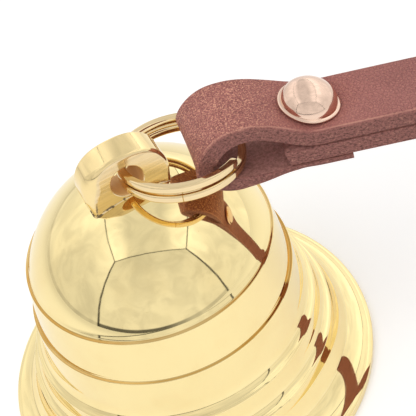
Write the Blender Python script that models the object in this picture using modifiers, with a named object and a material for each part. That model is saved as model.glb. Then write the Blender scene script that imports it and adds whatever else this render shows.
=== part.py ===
"""Tiered brass bell with a crown lug, a split ring, a riveted leather strap and a hung clapper.

Units are metres. The bell stands on its mouth: the origin is on the bell's axis in the plane of the
mouth, +Z points up to the crown, and +X is the way the strap runs. Sizes are written in millimetres
times MM.
"""
import math

import bmesh
import bpy
from mathutils import Matrix, Vector

MM = 0.001

# Running and seating gaps between pieces, and between layers of leather.
SEAT_GAP = 0.3 * MM
LAYER_GAP = 0.3 * MM

# Bell: heights of its bands from the mouth up, and the steps by which each one is wider.
LIP_HEIGHT = 2.4 * MM
LIP_FACE = 2.8 * MM
LIP_ROUND = 0.7 * MM
FLARE_HEIGHT = 8.0 * MM
FLARE_STEP = 7.15 * MM
LOW_BAND_HEIGHT = 2.75 * MM
LOW_BAND_TAPER = 0.2 * MM
LOW_COVE_HEIGHT = 2.65 * MM
LOW_COVE_STEP = 2.1 * MM
MID_BAND_HEIGHT = 3.45 * MM
MID_BAND_TAPER = 0.25 * MM
MID_COVE_HEIGHT = 3.15 * MM
MID_COVE_STEP = 2.1 * MM
HIGH_BAND_HEIGHT = 7.9 * MM
HIGH_BAND_TAPER = 0.55 * MM
HIGH_LEDGE = 0.65 * MM
TOP_BAND_HEIGHT = 10.3 * MM
TOP_BAND_TAPER = 1.25 * MM
TOP_LEDGE = 0.65 * MM
EDGE_ROUND = 0.35 * MM
DOME_BASE_RADIUS = 24.8 * MM
DOME_RISE = 16.724 * MM
BELL_WALL = 2.8 * MM
BOSS_RADIUS = 6.0 * MM
BOSS_DROP = 4.0 * MM
TAP_DEPTH = 5.0 * MM
BELL_STEPS = 64

# Crown lug: a rounded arch, brazed on the dome, with a cross hole for the split ring.
LUG_YAW = math.radians(21.8)
LUG_HALF_LENGTH = 8.7 * MM
LUG_FOOT_HALF_LENGTH = 8.1 * MM
LUG_THICKNESS = 6.5 * MM
LUG_ARCH_RISE = 7.5 * MM
LUG_ARCH_POWER = 2.35
LUG_HOLE_RADIUS = 3.3 * MM
LUG_HOLE_RISE = 3.75 * MM
LUG_SPRING_DROP = 1.4 * MM
LUG_EDGE = 0.6 * MM

# Split ring: two turns of wire with a step between them.
RING_RADIUS = 11.7 * MM
RING_WIRE_RADIUS = 0.825 * MM
RING_COIL_STEP = 2.1 * MM
RING_REST_GAP = 1.4 * MM
RING_YAW = math.radians(9.0)
RING_DIP = math.radians(5.7)
RING_ROLL = math.radians(-9.0)
RING_STEP_ANGLE = math.radians(20.0)
RING_END_ANGLE = math.radians(10.0)
POINTS_PER_TURN = 24
LEAST_WIRE_GAP = 0.4 * MM

# Leather strap: one length, folded round the ring, riveted through three layers.
STRAP_WIDTH = 14.2 * MM
LEATHER = 3.7 * MM
SKIVED = 1.0 * MM
STRAP_SIDE_OFFSET = 1.65 * MM
STRAP_ABOVE_RING = 4.86 * MM
RIVET_REACH = 14.12 * MM
INNER_LAP = 6.0 * MM
LOWER_LAP = 6.1 * MM
STRAIGHT_RUN = 22.7 * MM
BEND_RADIUS = 48.0 * MM
BEND_ANGLE = math.radians(62.0)
HANG_EYE_RADIUS = 7.0 * MM
FOLD_SKEW = 3.5 * MM
FOLD_SAG = 2.8 * MM
# Middle of the leather over the ring, as (share of the way to the rivet, height above the bar).
ARCH = [(0.766, 5.8 * MM), (0.515, 7.4 * MM), (0.272, 8.75 * MM), (0.045, 9.25 * MM)]
# Middle of the leather round the fold, where it is thinned, as (along, up, share of the thickness).
FOLD = [(-3.05 * MM, 8.7 * MM, 1.0), (-6.05 * MM, 6.75 * MM, 1.0), (-8.0 * MM, 3.95 * MM, 1.0),
        (-7.65 * MM, 1.3 * MM, 1.0), (-6.8 * MM, -0.95 * MM, 1.0), (-4.9 * MM, -3.25 * MM, 0.92),
        (-1.6 * MM, -4.15 * MM, 0.88), (2.9 * MM, -3.6 * MM, 0.62)]

# Rivet: a domed cap, set askew on its tube, and a base with a pin that fills the tube.
RIVET_CAP_RADIUS = 5.9 * MM
RIVET_CAP_HEIGHT = 4.5 * MM
RIVET_CAP_LIFT = 0.65 * MM
RIVET_CAP_TILT = math.radians(17.0)
RIVET_TUBE_RADIUS = 2.0 * MM
RIVET_PIN_RADIUS = 1.0 * MM
RIVET_BASE_RADIUS = 4.5 * MM
RIVET_BASE_HEIGHT = 1.4 * MM
RIVET_BASE_BEVEL = 0.5 * MM

# Clapper: eye screw and jam nut in the crown, a link, and a rod with a ball.
EYE_SHANK_RADIUS = 2.0 * MM
EYE_WIRE_RADIUS = 1.1 * MM
EYE_RADIUS = 4.2 * MM
EYE_NUT_FLATS = 7.0 * MM
EYE_NUT_HEIGHT = 3.0 * MM
EYE_NECK = 0.6 * MM
LINK_RADIUS = 4.0 * MM
LINK_WIRE_RADIUS = 0.8 * MM
ROD_RADIUS = 1.1 * MM
ROD_EYE_RADIUS = 3.4 * MM
ROD_LENGTH = 7.3 * MM
BALL_RADIUS = 8.0 * MM
BALL_SOCKET_DEPTH = 6.0 * MM
BALL_NUT_FLATS = 5.0 * MM
BALL_NUT_HEIGHT = 2.0 * MM

# Heights and radii of the bell that follow from the sizes above.
FLARE_TOP_Z = LIP_HEIGHT + FLARE_HEIGHT
LOW_BAND_TOP_Z = FLARE_TOP_Z + LOW_BAND_HEIGHT
LOW_COVE_TOP_Z = LOW_BAND_TOP_Z + LOW_COVE_HEIGHT
MID_BAND_TOP_Z = LOW_COVE_TOP_Z + MID_BAND_HEIGHT
MID_COVE_TOP_Z = MID_BAND_TOP_Z + MID_COVE_HEIGHT
HIGH_BAND_TOP_Z = MID_COVE_TOP_Z + HIGH_BAND_HEIGHT
TOP_BAND_TOP_Z = HIGH_BAND_TOP_Z + TOP_BAND_HEIGHT
TOP_BAND_RADIUS = DOME_BASE_RADIUS + TOP_LEDGE
TOP_BAND_FOOT = TOP_BAND_RADIUS + TOP_BAND_TAPER
HIGH_BAND_RADIUS = TOP_BAND_FOOT + HIGH_LEDGE
HIGH_BAND_FOOT = HIGH_BAND_RADIUS + HIGH_BAND_TAPER
MID_BAND_RADIUS = HIGH_BAND_FOOT + MID_COVE_STEP
MID_BAND_FOOT = MID_BAND_RADIUS + MID_BAND_TAPER
LOW_BAND_RADIUS = MID_BAND_FOOT + LOW_COVE_STEP
LOW_BAND_FOOT = LOW_BAND_RADIUS + LOW_BAND_TAPER
LIP_RADIUS = LOW_BAND_FOOT + FLARE_STEP
MOUTH_RADIUS = LIP_RADIUS - LIP_ROUND - LIP_FACE
DOME_SPHERE_RADIUS = (DOME_BASE_RADIUS ** 2 + DOME_RISE ** 2) / (2 * DOME_RISE)
CROWN_Z = TOP_BAND_TOP_Z + DOME_RISE
DOME_CENTRE_Z = CROWN_Z - DOME_SPHERE_RADIUS
INNER_SPHERE_RADIUS = DOME_SPHERE_RADIUS - BELL_WALL
BOSS_Z = DOME_CENTRE_Z + INNER_SPHERE_RADIUS - BOSS_DROP

# Seats of the ring and the strap.
LUG_HOLE_Z = CROWN_Z + LUG_HOLE_RISE
LUG_SPRING_Z = LUG_HOLE_Z - LUG_SPRING_DROP
RING_STACK_HALF = RING_COIL_STEP / 2 + RING_WIRE_RADIUS
RING_SEAT = Vector((0.0, 0.0, LUG_HOLE_Z - LUG_HOLE_RADIUS + RING_REST_GAP + RING_STACK_HALF))
RING_TURN = (Matrix.Rotation(RING_YAW, 4, "Z") @ Matrix.Rotation(RING_DIP, 4, "Y")
             @ Matrix.Rotation(RING_ROLL, 4, "X"))
RING_FRAME = Matrix.Translation(RING_SEAT) @ RING_TURN
BAR_ANGLE = math.asin(STRAP_SIDE_OFFSET / RING_RADIUS - math.sin(RING_YAW)) - RING_YAW
BAR = RING_FRAME @ Vector((RING_RADIUS * (1 + math.cos(BAR_ANGLE)), RING_RADIUS * math.sin(BAR_ANGLE), 0.0))
RIVET_X = BAR.x + RIVET_REACH
LAYER_STEP = LEATHER + LAYER_GAP
OUTER_LAYER_Z = BAR.z + STRAP_ABOVE_RING
INNER_LAYER_Z = OUTER_LAYER_Z - LAYER_STEP
LOWER_LAYER_TOP = INNER_LAYER_Z - LEATHER / 2 - LAYER_GAP
CAP_SEAT = (Matrix.Translation((RIVET_X, STRAP_SIDE_OFFSET, OUTER_LAYER_Z + LEATHER / 2 + RIVET_CAP_LIFT))
            @ Matrix.Rotation(RIVET_CAP_TILT, 4, "Y"))

# Heights of the clapper's pieces, from the boss down.
NUT_TOP_Z = BOSS_Z - SEAT_GAP
EYE_Z = NUT_TOP_Z - EYE_NUT_HEIGHT - EYE_NECK - EYE_RADIUS - EYE_WIRE_RADIUS
LINK_PIVOT_Z = EYE_Z - EYE_RADIUS
LINK_Z = LINK_PIVOT_Z + EYE_WIRE_RADIUS + SEAT_GAP + LINK_WIRE_RADIUS - LINK_RADIUS
ROD_PIVOT_Z = LINK_Z - LINK_RADIUS
ROD_EYE_Z = ROD_PIVOT_Z + LINK_WIRE_RADIUS + SEAT_GAP + ROD_RADIUS - ROD_EYE_RADIUS
BALL_TOP_Z = ROD_EYE_Z - ROD_EYE_RADIUS - ROD_LENGTH
BALL_Z = BALL_TOP_Z - BALL_RADIUS


def clear_scene():
    for item in list(bpy.data.objects):
        bpy.data.objects.remove(item, do_unlink=True)


def named_collection(name):
    group = bpy.data.collections.new(name)
    bpy.context.scene.collection.children.link(group)
    return group


def surface(name, colour, roughness, metallic):
    material = bpy.data.materials.new(name)
    material.use_nodes = True
    shader = material.node_tree.nodes["Principled BSDF"]
    shader.inputs["Base Color"].default_value = (*colour, 1.0)
    shader.inputs["Roughness"].default_value = roughness
    shader.inputs["Metallic"].default_value = metallic
    return material


def place(name, data, material):
    """Adds one piece with its material to the bell's collection, or a tool to the cutters."""
    piece = bpy.data.objects.new(name, data)
    if material:
        data.materials.append(material)
        PARTS.objects.link(piece)
    else:
        CUTTERS.objects.link(piece)
        piece.hide_render = True
        piece.display_type = "WIRE"
    return piece


def carry(name, point, pieces):
    """Parents pieces to an empty on their joint's axis and leaves them where they are."""
    empty = bpy.data.objects.new(name, None)
    empty.location = point
    PARTS.objects.link(empty)
    bpy.context.view_layer.update()
    for piece in pieces:
        piece.parent = empty
        piece.matrix_parent_inverse = empty.matrix_world.inverted()


def applied(piece):
    """Bakes a piece's modifiers into its mesh and shades it smooth up to its edges."""
    bpy.context.view_layer.update()
    evaluated = piece.evaluated_get(bpy.context.evaluated_depsgraph_get())
    mesh = bpy.data.meshes.new_from_object(evaluated)
    piece.modifiers.clear()
    piece.data = mesh
    mesh.shade_smooth()
    mesh.set_sharp_from_angle(angle=math.radians(35))
    return piece


def as_mesh(curve_piece, material):
    """Turns a curve into a closed mesh piece of the same name and place."""
    bpy.context.view_layer.update()
    evaluated = curve_piece.evaluated_get(bpy.context.evaluated_depsgraph_get())
    mesh = bpy.data.meshes.new_from_object(evaluated)
    edit = bmesh.new()
    edit.from_mesh(mesh)
    bmesh.ops.remove_doubles(edit, verts=edit.verts, dist=0.001 * MM)
    bmesh.ops.recalc_face_normals(edit, faces=edit.faces)
    edit.to_mesh(mesh)
    edit.free()
    mesh.materials.clear()
    name = curve_piece.name
    matrix = curve_piece.matrix_world.copy()
    bpy.data.objects.remove(curve_piece, do_unlink=True)
    solid = place(name, mesh, material)
    solid.matrix_world = matrix
    return solid


def turned(name, profile, material, steps):
    """A turned solid: a profile of (radius, height) from the axis, down the outside and back."""
    mesh = bpy.data.meshes.new(name)
    edit = bmesh.new()
    points = [edit.verts.new((radius, 0.0, height)) for radius, height in profile]
    for first, second in zip(points, points[1:]):
        edit.edges.new((first, second))
    edit.to_mesh(mesh)
    edit.free()
    piece = place(name, mesh, material)
    screw = piece.modifiers.new("turn", "SCREW")
    screw.steps = steps
    screw.render_steps = steps
    screw.use_merge_vertices = True
    screw.merge_threshold = 0.005 * MM
    return applied(piece)


def tube(name, points, radius, material, resolution, closed=False):
    """A round wire along a polyline."""
    curve = bpy.data.curves.new(name, "CURVE")
    curve.dimensions = "3D"
    curve.bevel_depth = radius
    curve.bevel_resolution = resolution
    curve.use_fill_caps = not closed
    line = curve.splines.new("POLY")
    line.points.add(len(points) - 1)
    for target, point in zip(line.points, points):
        target.co = (*point, 1.0)
    line.use_cyclic_u = closed
    return place(name, curve, material)


def cylinder(name, radius, low, high, material=None, sides=32):
    """An upright cylinder, or with six sides a nut's blank, between two heights."""
    mesh = bpy.data.meshes.new(name)
    edit = bmesh.new()
    bmesh.ops.create_cone(edit, cap_ends=True, segments=sides, radius1=radius, radius2=radius,
                          depth=high - low, matrix=Matrix.Translation((0, 0, (low + high) / 2)))
    edit.to_mesh(mesh)
    edit.free()
    return place(name, mesh, material)


def boolean(piece, tool, operation):
    """Cuts a piece with a tool, or joins the tool to it."""
    change = piece.modifiers.new(operation.lower(), "BOOLEAN")
    change.operation = operation
    change.solver = "EXACT"
    change.object = tool


def arc(centre, radius, start, end, count):
    """Points of an arc in the profile plane, with angles in degrees."""
    angles = [math.radians(start + (end - start) * k / count) for k in range(count + 1)]
    return [(centre[0] + radius * math.cos(a), centre[1] + radius * math.sin(a)) for a in angles]


def cove(top, bottom, count):
    """A hollow quarter of an ellipse that leaves a wall and runs out to the crest below it."""
    wide = bottom[0] - top[0]
    tall = top[1] - bottom[1]
    angles = [math.radians(90 * k / count) for k in range(count + 1)]
    return [(top[0] + wide * (1 - math.cos(a)), top[1] - tall * math.sin(a)) for a in angles]


def crest(radius, height, size):
    """The rounded outer edge under a cove or a ledge."""
    return arc((radius - size, height - size), size, 90, 0, 3)


def bell_outside():
    """Dome, four bands with a ledge or a cove above each, and the flared lip."""
    tilt = math.degrees(math.asin(DOME_BASE_RADIUS / DOME_SPHERE_RADIUS))
    line = arc((0.0, DOME_CENTRE_Z), DOME_SPHERE_RADIUS, 90, 90 - tilt, 14)
    line[0] = (0.0, CROWN_Z)
    line += crest(TOP_BAND_RADIUS, TOP_BAND_TOP_Z, EDGE_ROUND)
    line.append((TOP_BAND_FOOT, HIGH_BAND_TOP_Z))
    line += crest(HIGH_BAND_RADIUS, HIGH_BAND_TOP_Z, EDGE_ROUND)
    line += cove((HIGH_BAND_FOOT, MID_COVE_TOP_Z), (MID_BAND_RADIUS - EDGE_ROUND, MID_BAND_TOP_Z), 5)
    line += crest(MID_BAND_RADIUS, MID_BAND_TOP_Z, EDGE_ROUND)[1:]
    line += cove((MID_BAND_FOOT, LOW_COVE_TOP_Z), (LOW_BAND_RADIUS - EDGE_ROUND, LOW_BAND_TOP_Z), 5)
    line += crest(LOW_BAND_RADIUS, LOW_BAND_TOP_Z, EDGE_ROUND)[1:]
    line += cove((LOW_BAND_FOOT, FLARE_TOP_Z), (LIP_RADIUS - LIP_ROUND, LIP_HEIGHT), 7)
    line += crest(LIP_RADIUS, LIP_HEIGHT, LIP_ROUND)[1:]
    return line + arc((LIP_RADIUS - LIP_ROUND, LIP_ROUND), LIP_ROUND, 0, -90, 4)


def bell_inside():
    """Mouth, plain inner wall, and the tapped boss under the crown."""
    line = cove((LOW_BAND_FOOT - BELL_WALL, FLARE_TOP_Z), (MOUTH_RADIUS, 0.0), 6)
    line.reverse()
    line.append((MID_BAND_FOOT - BELL_WALL, LOW_COVE_TOP_Z))
    line.append((HIGH_BAND_FOOT - BELL_WALL, MID_COVE_TOP_Z))
    line.append((TOP_BAND_FOOT - BELL_WALL, HIGH_BAND_TOP_Z))
    spring = math.degrees(math.acos((TOP_BAND_RADIUS - BELL_WALL) / INNER_SPHERE_RADIUS))
    boss_edge = math.degrees(math.acos(BOSS_RADIUS / INNER_SPHERE_RADIUS))
    line += arc((0.0, DOME_CENTRE_Z), INNER_SPHERE_RADIUS, spring, boss_edge, 8)
    tap = EYE_SHANK_RADIUS + SEAT_GAP
    tap_z = BOSS_Z + TAP_DEPTH
    return line + [(BOSS_RADIUS, BOSS_Z), (tap, BOSS_Z), (tap, tap_z), (0.0, tap_z)]


def make_bell():
    turned("bell_body", bell_outside() + bell_inside(), BRASS, BELL_STEPS)


def lug_outline():
    """Front view of the lug: slightly drawn-in feet under a full round arch."""
    count = 28
    points = []
    for k in range(count + 1):
        angle = math.pi * k / count
        across = math.copysign(abs(math.cos(angle)) ** (2 / LUG_ARCH_POWER), math.cos(angle))
        rise = math.sin(angle) ** (2 / LUG_ARCH_POWER)
        points.append((LUG_HALF_LENGTH * across, LUG_SPRING_Z + LUG_ARCH_RISE * rise))
    foot_z = CROWN_Z - LUG_HOLE_RISE
    return points + [(-LUG_FOOT_HALF_LENGTH, foot_z), (LUG_FOOT_HALF_LENGTH, foot_z)]


def lug_blank():
    """The lug's outline made thick, with its long edges rounded."""
    curve = bpy.data.curves.new("crown_lug", "CURVE")
    curve.dimensions = "2D"
    curve.fill_mode = "BOTH"
    curve.extrude = LUG_THICKNESS / 2 - LUG_EDGE
    curve.bevel_depth = LUG_EDGE
    curve.bevel_resolution = 1
    curve.offset = -LUG_EDGE
    outline = lug_outline()
    line = curve.splines.new("POLY")
    line.points.add(len(outline) - 1)
    for target, (x, z) in zip(line.points, outline):
        target.co = (x, z, 0.0, 1.0)
    line.use_cyclic_u = True
    piece = place("crown_lug", curve, BRASS)
    piece.rotation_euler.x = math.radians(90)
    return as_mesh(piece, BRASS)


def make_lug():
    lug = lug_blank()
    hole = cylinder("lug_hole_tool", LUG_HOLE_RADIUS, -LUG_THICKNESS, LUG_THICKNESS)
    hole.location.z = LUG_HOLE_Z
    hole.rotation_euler.x = math.radians(90)
    profile = arc((0.0, DOME_CENTRE_Z), DOME_SPHERE_RADIUS + SEAT_GAP, 90, 40, 12)
    profile[0] = (0.0, CROWN_Z + SEAT_GAP)
    profile += [(profile[-1][0], DOME_CENTRE_Z), (0.0, DOME_CENTRE_Z)]
    seat = turned("lug_seat_tool", profile, None, BELL_STEPS)
    boolean(lug, hole, "DIFFERENCE")
    boolean(lug, seat, "DIFFERENCE")
    applied(lug)
    lug.rotation_euler.z = LUG_YAW


def ring_path():
    """Two turns in the ring's own frame, through the lug at its origin, which step in the strap's fold."""
    first = RING_STEP_ANGLE + RING_END_ANGLE
    last = 4 * math.pi - first
    count = round(POINTS_PER_TURN * (last - first) / (2 * math.pi))
    points = []
    for k in range(count + 1):
        angle = first + (last - first) * k / count
        share = (angle - 2 * math.pi + RING_STEP_ANGLE) / (2 * RING_STEP_ANGLE)
        share = min(1.0, max(0.0, share))
        height = RING_COIL_STEP * (share * share * (3 - 2 * share) - 0.5)
        turn = angle + BAR_ANGLE
        points.append((RING_RADIUS * (1 + math.cos(turn)), RING_RADIUS * math.sin(turn), height))
    return points


def least_gap(points, radius, skip):
    """Smallest gap between turns of one wire, measured between points that aren't neighbours."""
    gap = math.inf
    for k, point in enumerate(points):
        for other in points[k + skip:]:
            gap = min(gap, math.dist(point, other) - 2 * radius)
    return gap


def make_ring():
    points = ring_path()
    gap = least_gap(points, RING_WIRE_RADIUS, POINTS_PER_TURN // 2)
    print(f"split ring: least gap to itself {gap / MM:.2f} mm, wanted over {LEAST_WIRE_GAP / MM:.1f} mm")
    ring = tube("split_ring", points, RING_WIRE_RADIUS, GOLD, 1)
    ring.matrix_world = RING_FRAME


def smooth_line(points, count):
    """Smooth curve through points, with the same number of steps between each pair."""
    ends = [points[0], *points, points[-1]]
    line = []
    for a, b, c, d in zip(ends, ends[1:], ends[2:], ends[3:]):
        a, b, c, d = Vector(a), Vector(b), Vector(c), Vector(d)
        for k in range(count):
            t = k / count
            square = (2 * a - 5 * b + 4 * c - d) * t ** 2
            cube = (3 * b - a - 3 * c + d) * t ** 3
            line.append((2 * b + (c - a) * t + square + cube) / 2)
    return [*line, Vector(points[-1])]


def spine(length):
    """Middle of the double strap past its straight run: point and direction at a length along it."""
    turn = min(length / BEND_RADIUS, BEND_ANGLE)
    rest = max(0.0, length - BEND_RADIUS * BEND_ANGLE)
    ahead = Vector((math.cos(turn), -math.sin(turn)))
    start = Vector((RIVET_X + STRAIGHT_RUN, (OUTER_LAYER_Z + INNER_LAYER_Z) / 2))
    bent = BEND_RADIUS * Vector((math.sin(turn), math.cos(turn) - 1))
    return start + bent + rest * ahead, ahead


def strap_tail():
    """The inner layer past the rivet, the eye at the far end, which rests on the ground, and back."""
    eye = HANG_EYE_RADIUS + LEATHER / 2
    bend = BEND_RADIUS * BEND_ANGLE
    tail = (spine(bend)[0].y - HANG_EYE_RADIUS - LEATHER) / math.sin(BEND_ANGLE)
    lengths = [bend * k / 8 for k in range(8)] + [bend + tail * k / 8 for k in range(9)]
    inner = []
    outer = []
    for length in lengths:
        point, ahead = spine(length)
        share = length / (bend + tail)
        apart = LAYER_STEP / 2 + (eye - LAYER_STEP / 2) * share * share * (3 - 2 * share)
        side = Vector((-ahead.y, ahead.x)) * apart
        inner.append((*(point - side), LEATHER))
        outer.append((*(point + side), LEATHER))
    centre, ahead = spine(lengths[-1])
    side = Vector((-ahead.y, ahead.x))
    turns = [math.pi * k / 12 for k in range(1, 12)]
    end = [(*(centre + eye * (math.sin(t) * ahead - math.cos(t) * side)), LEATHER) for t in turns]
    return inner + end + list(reversed(outer))


def strap_path():
    """Middle line of the leather as (along, up, thickness): inner end, tail, loop, lower end."""
    inner = [(RIVET_X - INNER_LAP, INNER_LAYER_Z, LEATHER), (RIVET_X, INNER_LAYER_Z, LEATHER)]
    outer = [(RIVET_X + LOWER_LAP, OUTER_LAYER_Z, LEATHER), (RIVET_X, OUTER_LAYER_Z, LEATHER)]
    arch = [(BAR.x + RIVET_REACH * share, BAR.z + up, LEATHER) for share, up in ARCH]
    fold = [(BAR.x + along, BAR.z + up, LEATHER * share) for along, up, share in FOLD]
    lower_z = LOWER_LAYER_TOP - SKIVED / 2
    skive_x = RIVET_X - RIVET_BASE_RADIUS
    lower = [(x, lower_z, SKIVED) for x in (skive_x, RIVET_X, RIVET_X + LOWER_LAP)]
    return smooth_line(inner + strap_tail() + outer + arch + fold + lower, 3)


def under_share(z):
    """How far under the ring a point is: all at the bar or below, none a leather's thickness above it."""
    return min(1.0, max(0.0, (BAR.z + LEATHER - z) / LEATHER))


def skew_share(x, z):
    """How much of the fold's skew a point takes: all above the ring, none under it or at the rivet."""
    return min(1.0, max(0.0, (RIVET_X - x) / RIVET_REACH)) * (1 - under_share(z))


def sag_share(x, z):
    """How much of the fold's sag a point takes: all under the ring, none above it or at the rivet."""
    skived_run = RIVET_REACH - RIVET_BASE_RADIUS
    return min(1.0, max(0.0, (BAR.x + skived_run - x) / skived_run)) * under_share(z)


def leather_ribbon(path):
    """Middle surface of the strap, which carries its thickness as a weight, made solid."""
    mesh = bpy.data.meshes.new("leather_strap")
    edit = bmesh.new()
    weights = edit.verts.layers.deform.verify()
    near = []
    for x, z, thickness in path:
        point = edit.verts.new((x, STRAP_SIDE_OFFSET - STRAP_WIDTH / 2, z))
        point[weights][0] = thickness / LEATHER
        near.append(point)
    edges = [edit.edges.new(pair) for pair in zip(near, near[1:])]
    swept = bmesh.ops.extrude_edge_only(edit, edges=edges)["geom"]
    far = [item for item in swept if isinstance(item, bmesh.types.BMVert)]
    bmesh.ops.translate(edit, verts=far, vec=(0.0, STRAP_WIDTH, 0.0))
    for point in edit.verts:
        side = (point.co.y - STRAP_SIDE_OFFSET) / STRAP_WIDTH
        x, z = point.co.x, point.co.z
        point.co.x -= FOLD_SKEW * side * skew_share(x, z)
        point.co.z -= FOLD_SAG * side * sag_share(x, z)
    edit.to_mesh(mesh)
    edit.free()
    strap = place("leather_strap", mesh, LEATHER_SKIN)
    strap.vertex_groups.new(name="thickness")
    solid = strap.modifiers.new("leather", "SOLIDIFY")
    solid.thickness = LEATHER
    solid.offset = 0.0
    solid.vertex_group = "thickness"
    return strap


def make_strap():
    path = strap_path()
    length = sum((b.xy - a.xy).length for a, b in zip(path, path[1:]))
    print(f"leather strap: cut length {length / MM:.0f} mm")
    strap = leather_ribbon(path)
    hole = cylinder("rivet_hole_tool", RIVET_TUBE_RADIUS + SEAT_GAP, 0.0, 2 * CROWN_Z)
    hole.location = (RIVET_X, STRAP_SIDE_OFFSET, 0.0)
    press = cylinder("rivet_seat_tool", RIVET_CAP_RADIUS + SEAT_GAP, -SEAT_GAP, 2 * RIVET_CAP_HEIGHT, sides=40)
    press.matrix_world = CAP_SEAT
    boolean(strap, hole, "DIFFERENCE")
    boolean(strap, press, "DIFFERENCE")
    return applied(strap)


def make_rivet():
    """Cap with its tube, and base with its pin, on one upright axis."""
    quarter = [math.radians(9 * k) for k in range(11)]
    dome = [(RIVET_CAP_RADIUS * math.sin(a), RIVET_CAP_HEIGHT * math.cos(a)) for a in quarter]
    cap = turned("rivet_cap", [*dome, (0.0, 0.0)], ROSE, 40)
    cap.matrix_world = CAP_SEAT
    tube_low = LOWER_LAYER_TOP - SKIVED
    tube_top = CAP_SEAT.translation.z + RIVET_TUBE_RADIUS
    bore_top = CAP_SEAT.translation.z
    stem = cylinder("rivet_stem_tool", RIVET_TUBE_RADIUS, tube_low, tube_top)
    bore = cylinder("rivet_bore_tool", RIVET_PIN_RADIUS + SEAT_GAP, 0.0, bore_top)
    base_z = tube_low - SEAT_GAP
    low = base_z - RIVET_BASE_HEIGHT
    pin = [(0.0, bore_top - SEAT_GAP), (RIVET_PIN_RADIUS, bore_top - SEAT_GAP), (RIVET_PIN_RADIUS, base_z)]
    disc = [(RIVET_BASE_RADIUS, base_z), (RIVET_BASE_RADIUS, low + RIVET_BASE_BEVEL),
            (RIVET_BASE_RADIUS - RIVET_BASE_BEVEL, low), (0.0, low)]
    base = turned("rivet_base", pin + disc, ROSE, 32)
    for piece in (stem, bore, base):
        piece.location = (RIVET_X, STRAP_SIDE_OFFSET, 0.0)
    boolean(cap, stem, "UNION")
    boolean(cap, bore, "DIFFERENCE")
    return applied(cap), base


def wire_loop(radius, height, across):
    """Points of an upright wire loop round (0, 0, height), across X or Y."""
    turns = [math.radians(15 * k) for k in range(24)]
    if across == "X":
        return [(radius * math.cos(t), 0.0, height + radius * math.sin(t)) for t in turns]
    return [(0.0, radius * math.cos(t), height + radius * math.sin(t)) for t in turns]


def shank_with_eye(name, shank_radius, low, high, eye_radius, wire_radius, eye_z):
    """A straight shank joined to a wire eye that stands across X."""
    shank = cylinder(name, shank_radius, low, high, BRASS, 20)
    loop = tube(name + "_tool", wire_loop(eye_radius, eye_z, "X"), wire_radius, None, 2, True)
    boolean(shank, as_mesh(loop, None), "UNION")
    return applied(shank)


def nut(name, flats, low, high, bore):
    blank = cylinder(name, flats / math.sqrt(3), low, high, BRASS, 6)
    hole = cylinder(name + "_tool", bore, low - flats, high + flats, sides=20)
    boolean(blank, hole, "DIFFERENCE")
    return applied(blank)


def make_hanger():
    """Eye screw in the crown's boss, the jam nut that locks it, and the loose link."""
    shank_top = BOSS_Z + TAP_DEPTH - SEAT_GAP
    shank_with_eye("clapper_eye_screw", EYE_SHANK_RADIUS, EYE_Z + EYE_RADIUS, shank_top,
                   EYE_RADIUS, EYE_WIRE_RADIUS, EYE_Z)
    nut("eye_jam_nut", EYE_NUT_FLATS, NUT_TOP_Z - EYE_NUT_HEIGHT, NUT_TOP_Z, EYE_SHANK_RADIUS + SEAT_GAP)
    loop = wire_loop(LINK_RADIUS, LINK_Z - LINK_PIVOT_Z, "Y")
    link = tube("clapper_link", loop, LINK_WIRE_RADIUS, BRASS, 2, True)
    link.location.z = LINK_PIVOT_Z


def make_clapper():
    """Rod with its eye, the ball, and the nut that locks the ball on the rod."""
    bore = ROD_RADIUS + SEAT_GAP
    socket_z = BALL_TOP_Z - BALL_SOCKET_DEPTH
    rod = shank_with_eye("clapper_rod", ROD_RADIUS, socket_z + SEAT_GAP, ROD_EYE_Z - ROD_EYE_RADIUS,
                         ROD_EYE_RADIUS, ROD_RADIUS, ROD_EYE_Z)
    nut_low = BALL_TOP_Z + SEAT_GAP
    lock = nut("ball_jam_nut", BALL_NUT_FLATS, nut_low, nut_low + BALL_NUT_HEIGHT, bore)
    mouth = math.degrees(math.acos(bore / BALL_RADIUS))
    profile = [(0.0, socket_z), (bore, socket_z)] + arc((0.0, BALL_Z), BALL_RADIUS, mouth, -90, 20)
    profile[-1] = (0.0, BALL_Z - BALL_RADIUS)
    return rod, lock, turned("clapper_ball", profile, BRASS, 36)


clear_scene()
PARTS = named_collection("brass_strap_bell")
CUTTERS = named_collection("cutters")
BRASS = surface("polished_brass", (0.86, 0.66, 0.28), 0.12, 1.0)
GOLD = surface("gilt_wire", (0.83, 0.67, 0.38), 0.16, 1.0)
ROSE = surface("rose_gilt", (0.85, 0.66, 0.52), 0.14, 1.0)
LEATHER_SKIN = surface("brown_leather", (0.29, 0.11, 0.08), 0.55, 0.0)

make_bell()
make_lug()
make_ring()
carry("strap_pivot", BAR, [make_strap(), *make_rivet()])
make_hanger()
carry("clapper_pivot", (0.0, 0.0, ROD_PIVOT_Z), make_clapper())
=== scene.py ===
"""Looks of a tiered brass bell on a riveted leather strap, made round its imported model.

The frame is the model's own: metres, the bell's axis along +Z, its mouth at z = 0, and the strap
running along +X. Sizes are written in millimetres times MM, colours as red, green, blue and alpha.
"""
import math
from functools import partial
from types import SimpleNamespace

import bmesh
import bpy
from mathutils import Matrix, Vector, noise


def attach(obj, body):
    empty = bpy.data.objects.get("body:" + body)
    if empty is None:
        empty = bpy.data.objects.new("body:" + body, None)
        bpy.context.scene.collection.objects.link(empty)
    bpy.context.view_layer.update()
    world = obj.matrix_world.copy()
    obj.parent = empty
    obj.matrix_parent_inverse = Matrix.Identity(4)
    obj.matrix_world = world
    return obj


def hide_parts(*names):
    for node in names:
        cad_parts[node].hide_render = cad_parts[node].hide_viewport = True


MM = 0.001

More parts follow.
